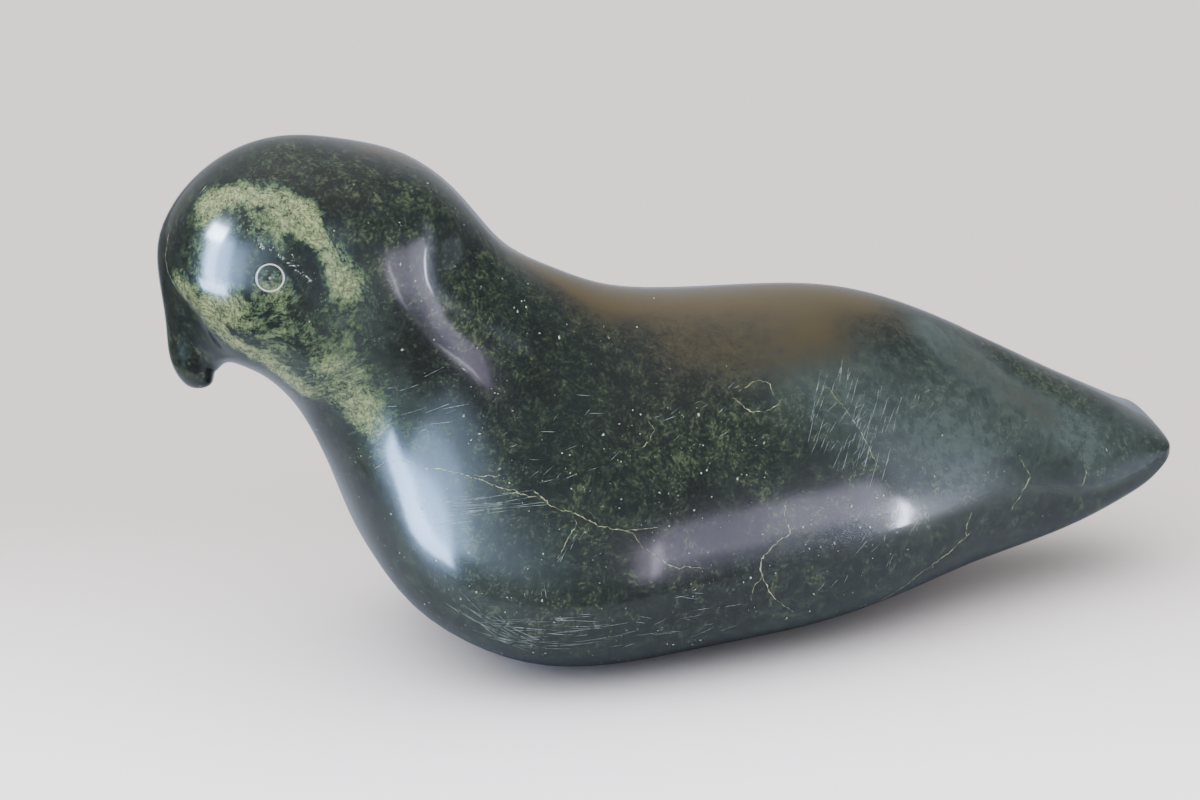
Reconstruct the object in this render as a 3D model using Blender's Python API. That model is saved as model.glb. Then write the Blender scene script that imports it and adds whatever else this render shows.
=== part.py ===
"""Serpentine bird carving: a polished stone bird resting on its breast and belly.

The bird is one carved stone, so it is one closed solid. It is lofted from tail to beak
through sections set across its curved axis. Each section stands on a chord from the
dorsal line to the keel line. The chords fan out at the breast and the chin.

Frame: +X from head to tail, +Z up, -Y the bird's left side. The origin is under the
middle of the carving, on the surface that it rests on. Metres.
"""

from dataclasses import dataclass

import bmesh
import bpy
import numpy as np

MM = 0.001                       # metres in a millimetre

# ---------------------------------------------------- driving dimensions, in millimetres
TAIL_EDGE_X = 149.6              # the end of the tail, ahead of the origin
TAIL_EDGE_HEIGHT = 40.6
TAIL_HALF_WIDTH = 21.3
BODY_HALF_WIDTH = 53.2
NECK_HALF_WIDTH = 26.3
HEAD_HALF_WIDTH = 27.2
CROWN_HEIGHT = 151.1
BEAK_TIP_X = -141.5
BEAK_TIP_HEIGHT = 85.7
REST_DEPTH = 1.3                 # how much of the belly's curve is ground off flat
TAIL_TURN_START = 70.2           # where the tail starts to turn, ahead of the origin
TAIL_TURN_END = 143.2            # where it has turned fully
TAIL_TWIST = 0.145               # how much higher the right side gets, in mm a mm of width
TAIL_SKEW = 0.06                 # how much further back the right side reaches, likewise

RINGS = 92                       # sections along the solid, from tail edge to beak tip
SEGMENTS = 48                    # points round each section
FINEST_SIZE = 5.0                # the section radius below which rings get no closer
SPACING_SAMPLES = 4001           # steps along the axis in which the rings are spaced
MIRRORED = 3                     # stations repeated past each end, so that the ends close round
NORMAL_STEP = 0.05               # mm along the axis, for the slope of the surface
TURN_STEP = 0.005                # radians round a section, for the slope of the surface
SHARP_ANGLE = 50.0               # degrees, above which an edge is shaded sharp

STONE_COLOUR = (0.020, 0.030, 0.022, 1.0)
STONE_ROUGHNESS = 0.12
STONE_IOR = 1.56


@dataclass(frozen=True)
class Station:
    """A section of the bird, in millimetres: its dorsal and keel points and its width."""

    name: str
    dorsal: tuple                # x, z
    keel: tuple                  # x, z
    half_width: float
    sag: float = 0.0             # how far the widest line drops towards the keel, 0 to 0.25
    dorsal_square: float = 0.0   # fullness of the upper corners, negative for a ridge
    keel_square: float = 0.0     # fullness of the lower corners


STATIONS = (
    Station("tail edge", (TAIL_EDGE_X, TAIL_EDGE_HEIGHT), (TAIL_EDGE_X, TAIL_EDGE_HEIGHT), 0.0),
    Station("tail edge round", (148.4, 42.7), (148.4, 39.4), 12.4, 0.1, 0.1, 0.1),
    Station("tail wedge", (144.2, 45.4), (144.2, 35.5), 16.8, 0.18, 0.12, 0.1),
    Station("tail", (132.2, 52.4), (132.2, 29.2), TAIL_HALF_WIDTH, 0.24, 0.04, 0.04),
    Station("tail root", (114.2, 62.1), (114.2, 22.3), 26.6, 0.22, -0.03, 0.02),
    Station("rump", (90.2, 75.4), (89.2, 12.9), 33.2, 0.14, -0.04),
    Station("wing tips", (67.2, 87.0), (61.2, 8.2), 41.0, 0.18, -0.03, -0.02),
    Station("wings", (42.6, 94.9), (27.2, 1.8), 48.5, 0.19, 0.01, -0.07),
    Station("back", (15.5, 97.1), (-10.8, -REST_DEPTH), 52.7, 0.17, 0.03, -0.07),
    Station("shoulders", (-7.1, 98.5), (-46.8, -1.1), BODY_HALF_WIDTH, 0.17, 0.03, -0.04),
    Station("lower breast", (-26.3, 102.4), (-71.8, 9.7), 49.4, 0.2, 0.01, 0.02),
    Station("breast", (-42.3, 109.4), (-88.9, 25.0), 42.4, 0.17, 0.02),
    Station("upper breast", (-56.7, 118.3), (-98.2, 42.2), 34.4, 0.09, 0.05, 0.01),
    Station("neck", (-68.4, 132.3), (-104.7, 57.5), 28.5, 0.06, 0.11, 0.02),
    Station("nape", (-81.3, 143.0), (-111.0, 71.0), NECK_HALF_WIDTH, -0.05, 0.13),
    Station("throat", (-98.5, 149.0), (-116.5, 80.1), 27.1, 0.05, 0.13),
    Station("crown", (-119.0, CROWN_HEIGHT), (-123.8, 87.8), HEAD_HALF_WIDTH, 0.03, 0.03),
    Station("brow", (-137.0, 142.9), (-130.4, 92.0), 25.0, 0.03, 0.02),
    Station("forehead", (-148.1, 128.5), (-133.8, 92.6), 18.5),
    Station("beak root", (-149.4, 115.4), (-135.6, 90.4), 10.6),
    Station("beak", (-148.4, 103.4), (-136.4, 89.4), 8.0),
    Station("beak hook", (-147.4, 92.2), (-136.8, 87.6), 6.5),
    Station("beak end", (-144.7, 87.2), (-138.0, 86.2), 4.2),
    Station("beak tip", (BEAK_TIP_X, BEAK_TIP_HEIGHT), (BEAK_TIP_X, BEAK_TIP_HEIGHT), 0.0),
)


@dataclass(frozen=True)
class Swell:
    """A soft rise on each side of the bird, or a hollow where negative, in millimetres."""

    centre: tuple                # x, distance from the mid-plane, z
    height: float
    reach: float                 # distance at which it has fallen to 0.61 of its height


@dataclass(frozen=True)
class Crease:
    """A tapering hollow on each side of the bird, along a line of points, in millimetres."""

    line: tuple                  # points of x, distance from the mid-plane, z
    depth: float
    reach: float


SWELLS = (
    Swell((-99.4, 32.7, 34.7), 4.7, 18.2),
    Swell((-73.5, 25.6, 117.6), -4.3, 8.6),
    Swell((-87.8, 25.3, 112.7), 5.2, 15.8),
)
CREASES = (
    Crease(((82.0, 6.0, 78.0), (97.0, 15.5, 65.0), (112.0, 25.0, 50.0)), 1.0, 5.0),
    Crease(((-149.0, 4.0, 116.0), (-144.5, 14.4, 110.5), (-136.0, 13.0, 97.0)), 1.1, 3.0),
)


# ------------------------------------------------------------------------- the surface
def natural_spline(knots, values):
    """Return a function giving the natural cubic spline through rows of values."""
    count = len(knots)
    gaps = np.diff(knots)
    slopes = np.diff(values, axis=0) / gaps[:, None]
    matrix = np.eye(count)
    right = np.zeros_like(values)
    for row in range(1, count - 1):
        matrix[row, row - 1] = gaps[row - 1]
        matrix[row, row] = 2.0 * (gaps[row - 1] + gaps[row])
        matrix[row, row + 1] = gaps[row]
        right[row] = 6.0 * (slopes[row] - slopes[row - 1])
    bends = np.linalg.solve(matrix, right)

    def spline(at):
        at = np.asarray(at, dtype=float)
        span = np.clip(np.searchsorted(knots, at) - 1, 0, count - 2)
        gap = gaps[span][..., None]
        before = (knots[span + 1] - at)[..., None] / gap
        after = (at - knots[span])[..., None] / gap
        bend = (before**3 - before) * bends[span] + (after**3 - after) * bends[span + 1]
        return before * values[span] + after * values[span + 1] + bend * gap**2 / 6.0

    return spline


def smooth_step(low, high, value):
    """Return a smooth rise from 0 at low to 1 at high."""
    share = np.clip((value - low) / (high - low), 0.0, 1.0)
    return share * share * (3.0 - 2.0 * share)


class Loft:
    """The smooth surface through the stations, as a function of two parameters."""

    # Past an end the same stations run backwards: these columns keep or change their sign.
    MIRROR_SIGNS = np.array([1, 1, -1, -1, -1, -1, 1, -1], dtype=float)

    def __init__(self, stations):
        """Lay the stations out along the mean length of their lines."""
        dorsal = np.array([station.dorsal for station in stations])
        keel = np.array([station.keel for station in stations])
        width = np.array([station.half_width for station in stations])
        sag = np.array([station.sag for station in stations])
        upper = np.array([station.dorsal_square for station in stations])
        lower = np.array([station.keel_square for station in stations])
        middle = (dorsal + keel) / 2.0
        rows = np.column_stack(
            [middle, (dorsal - keel) / 2.0, width, sag, (upper + lower) / 2.0, (upper - lower) / 2.0]
        )
        along_dorsal = np.linalg.norm(np.diff(dorsal, axis=0), axis=1)
        along_keel = np.linalg.norm(np.diff(keel, axis=0), axis=1)
        along_middle = np.linalg.norm(np.diff(middle, axis=0), axis=1)
        along_side = np.hypot(np.diff(width), along_middle)
        steps = (along_dorsal + along_keel + along_side) / 3.0
        knots = np.concatenate([[0.0], np.cumsum(steps)])
        self.length = knots[-1]
        before = -knots[1:MIRRORED + 1][::-1]
        after = 2.0 * self.length - knots[-MIRRORED - 1:-1][::-1]
        before_rows = rows[1:MIRRORED + 1][::-1] * self.MIRROR_SIGNS
        after_rows = rows[-MIRRORED - 1:-1][::-1] * self.MIRROR_SIGNS
        self.spline = natural_spline(
            np.concatenate([before, knots, after]),
            np.concatenate([before_rows, rows, after_rows]),
        )

    def size(self, along):
        """Return the mean radius of the section at a length along the loft, in mm."""
        row = self.spline(along)
        return (np.hypot(row[..., 2], row[..., 3]) + row[..., 4]) / 2.0

    def point(self, along, turn):
        """Return points in mm. turn runs from 0 on the dorsal line to pi on the keel."""
        row = self.spline(along)
        square = row[..., 6] + row[..., 7] * np.cos(turn)
        chord = np.cos(turn) - 2.0 * row[..., 5] * np.sin(turn) ** 2
        side = (np.sin(turn) + square * np.sin(3.0 * turn)) / (1.0 - square)
        x = row[..., 0] + row[..., 2] * chord
        y = -row[..., 4] * side
        z = row[..., 1] + row[..., 3] * chord
        turned = smooth_step(TAIL_TURN_START, TAIL_TURN_END, x)
        return np.stack([x + TAIL_SKEW * turned * y, y, z + TAIL_TWIST * turned * y], axis=-1)

    def normal(self, along, turn):
        """Return the surface's unit normals, pointing out of the stone."""
        forward = self.point(along + NORMAL_STEP, turn) - self.point(along - NORMAL_STEP, turn)
        around = self.point(along, turn + TURN_STEP) - self.point(along, turn - TURN_STEP)
        normal = np.cross(forward, around)
        return normal / np.maximum(np.linalg.norm(normal, axis=-1, keepdims=True), 1e-9)


def distance_to_line(points, line):
    """Return each point's distance to a line of points, and its place along it, 0 to 1."""
    line = np.array(line)
    lengths = np.linalg.norm(np.diff(line, axis=0), axis=1)
    nearest = np.full(points.shape[:-1], np.inf)
    place = np.zeros(points.shape[:-1])
    passed = 0.0
    for start, end, length in zip(line[:-1], line[1:], lengths):
        run = (end - start) / length
        along = np.clip((points - start) @ run, 0.0, length)
        away = np.linalg.norm(points - start - along[..., None] * run, axis=-1)
        closer = away < nearest
        nearest = np.where(closer, away, nearest)
        place = np.where(closer, (passed + along) / lengths.sum(), place)
        passed += length
    return nearest, place


def carved_depth(points):
    """Return how far the swells and creases move each point outwards, in mm."""
    folded = points.copy()
    folded[..., 1] = np.abs(folded[..., 1])
    move = np.zeros(points.shape[:-1])
    for swell in SWELLS:
        for side in (-1.0, 1.0):
            away = np.linalg.norm(points - np.array(swell.centre) * (1.0, side, 1.0), axis=-1)
            move += swell.height * np.exp(-0.5 * (away / swell.reach) ** 2)
    for crease in CREASES:
        away, place = distance_to_line(folded, crease.line)
        taper = np.sin(np.pi * np.clip(place, 0.0, 1.0)) ** 0.5
        move -= crease.depth * taper * np.exp(-0.5 * (away / crease.reach) ** 2)
    return move


def ring_places(loft):
    """Return the lengths of the rings: closer where the section is smaller."""
    fine = np.linspace(0.0, loft.length, SPACING_SAMPLES)
    density = 1.0 / np.maximum(loft.size(fine), FINEST_SIZE)
    count = np.concatenate([[0.0], np.cumsum((density[1:] + density[:-1]) / 2.0 * np.diff(fine))])
    return np.interp(np.linspace(0.0, count[-1], RINGS + 2), count, fine)[1:-1]


# ------------------------------------------------------------------------------- build
def clear_scene():
    """Remove the objects that the new file starts with."""
    for old in list(bpy.data.objects):
        bpy.data.objects.remove(old, do_unlink=True)


def stone_material():
    """Return the material of the polished dark green stone."""
    material = bpy.data.materials.new("serpentine")
    material.use_nodes = True
    shader = material.node_tree.nodes["Principled BSDF"]
    shader.inputs["Base Color"].default_value = STONE_COLOUR
    shader.inputs["Roughness"].default_value = STONE_ROUGHNESS
    shader.inputs["Metallic"].default_value = 0.0
    shader.inputs["IOR"].default_value = STONE_IOR
    return material


def carve_bird():
    """Return a bmesh of the bird, with its rest face cut flat and its origin under it."""
    loft = Loft(STATIONS)
    along, turn = np.meshgrid(
        ring_places(loft), np.linspace(0.0, 2.0 * np.pi, SEGMENTS, endpoint=False), indexing="ij"
    )
    points = loft.point(along, turn)
    points += loft.normal(along, turn) * carved_depth(points)[..., None]
    middle = (points[..., 0].min() + points[..., 0].max()) / 2.0

    mesh = bmesh.new()

    def add(point):
        """Add a vertex from a point in mm."""
        return mesh.verts.new(((point[0] - middle) * MM, point[1] * MM, point[2] * MM))

    rings = [[add(point) for point in ring] for ring in points]
    ends = [add(loft.point(at, 0.0)) for at in (0.0, loft.length)]
    for near, far in zip(rings[:-1], rings[1:]):
        for index in range(SEGMENTS):
            after = (index + 1) % SEGMENTS
            mesh.faces.new((near[index], near[after], far[after], far[index]))
    for index in range(SEGMENTS):
        after = (index + 1) % SEGMENTS
        mesh.faces.new((ends[0], rings[0][after], rings[0][index]))
        mesh.faces.new((ends[1], rings[-1][index], rings[-1][after]))
    bmesh.ops.recalc_face_normals(mesh, faces=mesh.faces)
    cut = bmesh.ops.bisect_plane(
        mesh,
        geom=mesh.verts[:] + mesh.edges[:] + mesh.faces[:],
        plane_co=(0.0, 0.0, 0.0),
        plane_no=(0.0, 0.0, 1.0),
        clear_inner=True,
        dist=1e-6,
    )
    rim = [item for item in cut["geom_cut"] if isinstance(item, bmesh.types.BMEdge)]
    bmesh.ops.contextual_create(mesh, geom=rim)
    bmesh.ops.recalc_face_normals(mesh, faces=mesh.faces)
    return mesh


def build():
    """Build the carving as one object in its own collection."""
    clear_scene()
    collection = bpy.data.collections.new("serpentine_bird_carving")
    bpy.context.scene.collection.children.link(collection)
    solid = carve_bird()
    data = bpy.data.meshes.new("bird")
    solid.to_mesh(data)
    solid.free()
    data.materials.append(stone_material())
    data.shade_smooth()
    data.set_sharp_from_angle(angle=np.radians(SHARP_ANGLE))
    collection.objects.link(bpy.data.objects.new("bird", data))


build()
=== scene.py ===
"""Serpentine bird carving: the polished stone bird, the marks in its stone and a pale studio.

The bird is one carved stone. Its surface is the smooth form that the solid model follows,
with the incised eyes, the rough old scar and the chipped beak cut into it. Veins, tool marks
and mineral flecks are thin slivers let into that surface by Geometry Nodes.

Sizes are in millimetres until a mesh is made. +X runs from the head to the tail, +Z is up and
-Y is the bird's left side. Where a place is given for both sides, its second number is the
distance from the mid-plane.
"""

from __future__ import annotations

import logging
import math
from dataclasses import dataclass
from enum import Enum
from functools import partial
from typing import Any, Callable

import bmesh
import bpy
import numpy as np
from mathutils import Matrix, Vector, noise
from mathutils.bvhtree import BVHTree


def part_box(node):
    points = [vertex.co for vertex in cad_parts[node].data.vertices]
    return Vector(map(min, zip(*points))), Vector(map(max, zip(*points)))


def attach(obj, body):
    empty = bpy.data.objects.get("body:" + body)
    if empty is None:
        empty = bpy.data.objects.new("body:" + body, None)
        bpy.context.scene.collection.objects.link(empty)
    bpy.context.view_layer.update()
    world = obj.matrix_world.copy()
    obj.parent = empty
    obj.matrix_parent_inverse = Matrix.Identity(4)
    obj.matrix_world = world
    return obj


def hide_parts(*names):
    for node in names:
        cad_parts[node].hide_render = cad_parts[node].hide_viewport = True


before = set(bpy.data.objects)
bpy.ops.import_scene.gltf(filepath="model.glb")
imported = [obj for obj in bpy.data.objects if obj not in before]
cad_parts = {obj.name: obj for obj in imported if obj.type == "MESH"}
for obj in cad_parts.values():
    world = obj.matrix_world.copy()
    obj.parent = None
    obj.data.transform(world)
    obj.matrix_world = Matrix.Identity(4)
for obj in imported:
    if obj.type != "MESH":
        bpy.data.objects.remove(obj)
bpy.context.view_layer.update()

LOG = logging.getLogger("serpentine_bird")
MM = 0.001
BODY = "root"
NODE = "bird"
MID_NOISE = (0.5, 0.5, 0.5)  # the middle of a noise's colour

Place = tuple[float, float, float]
Inputs = dict[Any, Any]


class Side(Enum):
    """A side of the bird, as the sign of its Y."""

    LEFT = -1.0
    RIGHT = 1.0


# --------------------------------------------------------------------------- small helpers
def linear(code: str) -> tuple[float, float, float, float]:
    """Turn an sRGB hex colour into linear light.

    Args:
        code: Six hex digits, with or without a leading hash.

    Returns:
        The linear red, green and blue, and an alpha of one.
    """
    digits = code.lstrip("#")
    shares = [int(digits[at:at + 2], 16) / 255.0 for at in (0, 2, 4)]
    return (*[s / 12.92 if s <= 0.04045 else ((s + 0.055) / 1.055) ** 2.4 for s in shares], 1.0)


def per_metre(size: float) -> float:
    """Return a texture scale whose features are about size millimetres across."""
    return 1.0 / (size * MM)


def feed(node: bpy.types.Node, inputs: Inputs) -> None:
    """Set a node's inputs.

    Args:
        node: The node.
        inputs: Input name or index to a constant, a socket, or a node whose first output feeds it.
    """
    for key, value in inputs.items():
        source = value.outputs[0] if isinstance(value, bpy.types.Node) else value
        if isinstance(source, bpy.types.NodeSocket):
            node.id_data.links.new(source, node.inputs[key])
        else:
            node.inputs[key].default_value = source


def add_node(tree: bpy.types.NodeTree, kind: str, inputs: Inputs | None = None, **settings: Any) -> Any:
    """Add a node with its settings, constants and links.

    Args:
        tree: The node tree that takes the node.
        kind: The node's type name.
        inputs: What each of its inputs takes, as in feed.
        **settings: Attributes of the node.

    Returns:
        The new node.
    """
    node = tree.nodes.new(kind)
    for name, value in settings.items():
        setattr(node, name, value)
    feed(node, inputs or {})
    return node


def weighed(add: Callable, parts: tuple[tuple[Any, float], ...], start: Any = 0.0) -> Any:
    """Add values up, each times its weight.

    Args:
        add: Adds a node to the tree.
        parts: Each value and its weight.
        start: What the sum starts from.

    Returns:
        The node that gives the sum.
    """
    for value, weight in parts:
        start = add("ShaderNodeMath", {0: value, 1: weight, 2: start}, operation="MULTIPLY_ADD")
    return start


def new_material(name: str) -> tuple[bpy.types.Material, Callable, bpy.types.Node, Any]:
    """Start a material.

    Args:
        name: What the material is.

    Returns:
        The material, its way to add nodes, its shader and the socket of its Object coordinates.
    """
    material = bpy.data.materials.new(name)
    material.use_nodes = True
    add = partial(add_node, material.node_tree)
    shader = material.node_tree.nodes["Principled BSDF"]
    return material, add, shader, add("ShaderNodeTexCoord").outputs["Object"]


def shade(ramp_node: bpy.types.Node, stops: tuple[tuple[float, str], ...]) -> None:
    """Set a colour ramp's stops.

    Args:
        ramp_node: The ramp's node, with its two first stops.
        stops: Each stop's place and sRGB hex colour, in order.
    """
    elements = ramp_node.color_ramp.elements
    elements[0].position, elements[1].position = stops[0][0], stops[-1][0]
    for place, _ in stops[1:-1]:
        elements.new(place)
    for element, (_, code) in zip(elements, stops):
        element.color = linear(code)


def link(new_object: bpy.types.Object) -> bpy.types.Object:
    """Put a new object in the scene and return it."""
    bpy.context.scene.collection.objects.link(new_object)
    return new_object


def bell(away: np.ndarray, reach: float) -> np.ndarray:
    """Return a soft fall from 1 at nought to about 0.6 at the reach and nothing far past it."""
    return np.exp(-0.5 * (away / reach) ** 2)


def smooth_step(low: float, high: float, value: np.ndarray) -> np.ndarray:
    """Return a smooth rise from 0 at low to 1 at high."""
    share = np.clip((value - low) / (high - low), 0.0, 1.0)
    return share * share * (3.0 - 2.0 * share)


def ripple(points: np.ndarray, wavelength: float, shift: float) -> np.ndarray:
    """Return smooth noise at each point.

    Args:
        points: Rows of x, y, z in millimetres.
        wavelength: The noise's feature size in millimetres.
        shift: An offset that picks another part of the noise.

    Returns:
        One value a point, from about -1 to 1.
    """
    return np.array([noise.noise(Vector(row)) for row in points / wavelength + shift])


def distance_to_line(points: np.ndarray, line: tuple[Place, ...]) -> tuple[np.ndarray, np.ndarray]:
    """Measure points against a line of places.

    Args:
        points: An array whose last axis is x, y, z.
        line: The line's corners.

    Returns:
        Each point's distance to the line, and its place along the line from 0 to 1.
    """
    corners = np.array(line, dtype=float)
    lengths = np.linalg.norm(np.diff(corners, axis=0), axis=1)
    nearest = np.full(points.shape[:-1], np.inf)
    place = np.zeros(points.shape[:-1])
    passed = 0.0
    for start, end, length in zip(corners[:-1], corners[1:], lengths):
        run = (end - start) / length
        along = np.clip((points - start) @ run, 0.0, length)
        away = np.linalg.norm(points - start - along[..., None] * run, axis=-1)
        closer = away < nearest
        nearest = np.where(closer, away, nearest)
        place = np.where(closer, (passed + along) / lengths.sum(), place)
        passed += length
    return nearest, place


def folded(points: np.ndarray) -> np.ndarray:
    """Return the points with both sides of the bird laid on one, as distances from the mid-plane."""
    both = points.copy()
    both[..., 1] = np.abs(both[..., 1])
    return both


# ------------------------------------------------------------------------------ the form
@dataclass(frozen=True)
class Station:
    """A section of the bird, in millimetres: its dorsal and keel points and its width."""

    name: str
    dorsal: tuple[float, float]
    keel: tuple[float, float]
    half_width: float
    sag: float = 0.0
    dorsal_square: float = 0.0
    keel_square: float = 0.0


@dataclass(frozen=True)
class Swell:
    """A soft rise on each side of the bird, or a hollow where its height is negative."""

    centre: Place
    height: float
    reach: float


@dataclass(frozen=True)
class Crease:
    """A tapering hollow on each side of the bird."""

    line: tuple[Place, ...]
    depth: float
    reach: float


@dataclass(frozen=True)
class TailTurn:
    """How the tail's end turns, so that the bird's right side ends higher and further back."""

    reach: tuple[float, float] = (70.2, 143.2)
    twist: float = 0.145  # mm of height for a mm of width
    skew: float = 0.06  # mm of length for a mm of width


TAIL_TURN = TailTurn()
STATIONS = (
    Station("tail edge", (149.6, 40.6), (149.6, 40.6), 0.0),
    Station("tail edge round", (148.4, 42.7), (148.4, 39.4), 12.4, 0.1, 0.1, 0.1),
    Station("tail wedge", (144.2, 45.4), (144.2, 35.5), 16.8, 0.18, 0.12, 0.1),
    Station("tail", (132.2, 52.4), (132.2, 29.2), 21.3, 0.24, 0.04, 0.04),
    Station("tail root", (114.2, 62.1), (114.2, 22.3), 26.6, 0.22, -0.03, 0.02),
    Station("rump", (90.2, 75.4), (89.2, 12.9), 33.2, 0.14, -0.04),
    Station("wing tips", (67.2, 87.0), (61.2, 8.2), 41.0, 0.18, -0.03, -0.02),
    Station("wings", (42.6, 94.9), (27.2, 1.8), 48.5, 0.19, 0.01, -0.07),
    Station("back", (15.5, 97.1), (-10.8, -1.3), 52.7, 0.17, 0.03, -0.07),
    Station("shoulders", (-7.1, 98.5), (-46.8, -1.1), 53.2, 0.17, 0.03, -0.04),
    Station("lower breast", (-26.3, 102.4), (-71.8, 9.7), 49.4, 0.2, 0.01, 0.02),
    Station("breast", (-42.3, 109.4), (-88.9, 25.0), 42.4, 0.17, 0.02),
    Station("upper breast", (-56.7, 118.3), (-98.2, 42.2), 34.4, 0.09, 0.05, 0.01),
    Station("neck", (-68.4, 132.3), (-104.7, 57.5), 28.5, 0.06, 0.11, 0.02),
    Station("nape", (-81.3, 143.0), (-111.0, 71.0), 26.3, -0.05, 0.13),
    Station("throat", (-98.5, 149.0), (-116.5, 80.1), 27.1, 0.05, 0.13),
    Station("crown", (-119.0, 151.1), (-123.8, 87.8), 27.2, 0.03, 0.03),
    Station("brow", (-137.0, 142.9), (-130.4, 92.0), 25.0, 0.03, 0.02),
    Station("forehead", (-148.1, 128.5), (-133.8, 92.6), 18.5),
    Station("beak root", (-149.4, 115.4), (-135.6, 90.4), 10.6),
    Station("beak", (-148.4, 103.4), (-136.4, 89.4), 8.0),
    Station("beak hook", (-147.4, 92.2), (-136.8, 87.6), 6.5),
    Station("beak end", (-144.7, 87.2), (-138.0, 86.2), 4.2),
    Station("beak tip", (-141.5, 85.7), (-141.5, 85.7), 0.0),
)
SWELLS = (
    Swell((-99.4, 32.7, 34.7), 4.7, 18.2),
    Swell((-73.5, 25.6, 117.6), -4.3, 8.6),
    Swell((-87.8, 25.3, 112.7), 5.2, 15.8),
)
CREASES = (
    Crease(((82.0, 6.0, 78.0), (97.0, 15.5, 65.0), (112.0, 25.0, 50.0)), 1.0, 5.0),
    Crease(((-149.0, 4.0, 116.0), (-144.5, 14.4, 110.5), (-136.0, 13.0, 97.0)), 1.1, 3.0),
)


def natural_spline(knots: np.ndarray, values: np.ndarray) -> Callable[[Any], np.ndarray]:
    """Make the natural cubic spline through rows of values.

    Args:
        knots: Rising lengths, one a row.
        values: The rows to pass through.

    Returns:
        A function from lengths to rows.
    """
    count = len(knots)
    gaps = np.diff(knots)
    slopes = np.diff(values, axis=0) / gaps[:, None]
    matrix = np.eye(count)
    right = np.zeros_like(values)
    for row in range(1, count - 1):
        matrix[row, row - 1] = gaps[row - 1]
        matrix[row, row] = 2.0 * (gaps[row - 1] + gaps[row])
        matrix[row, row + 1] = gaps[row]
        right[row] = 6.0 * (slopes[row] - slopes[row - 1])
    bends = np.linalg.solve(matrix, right)

    def spline(at: Any) -> np.ndarray:
        """Return the spline's rows at some lengths."""
        at = np.asarray(at, dtype=float)
        span = np.clip(np.searchsorted(knots, at) - 1, 0, count - 2)
        gap = gaps[span][..., None]
        before = (knots[span + 1] - at)[..., None] / gap
        after = (at - knots[span])[..., None] / gap
        bend = (before**3 - before) * bends[span] + (after**3 - after) * bends[span + 1]
        return before * values[span] + after * values[span + 1] + bend * gap**2 / 6.0

    return spline


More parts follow.
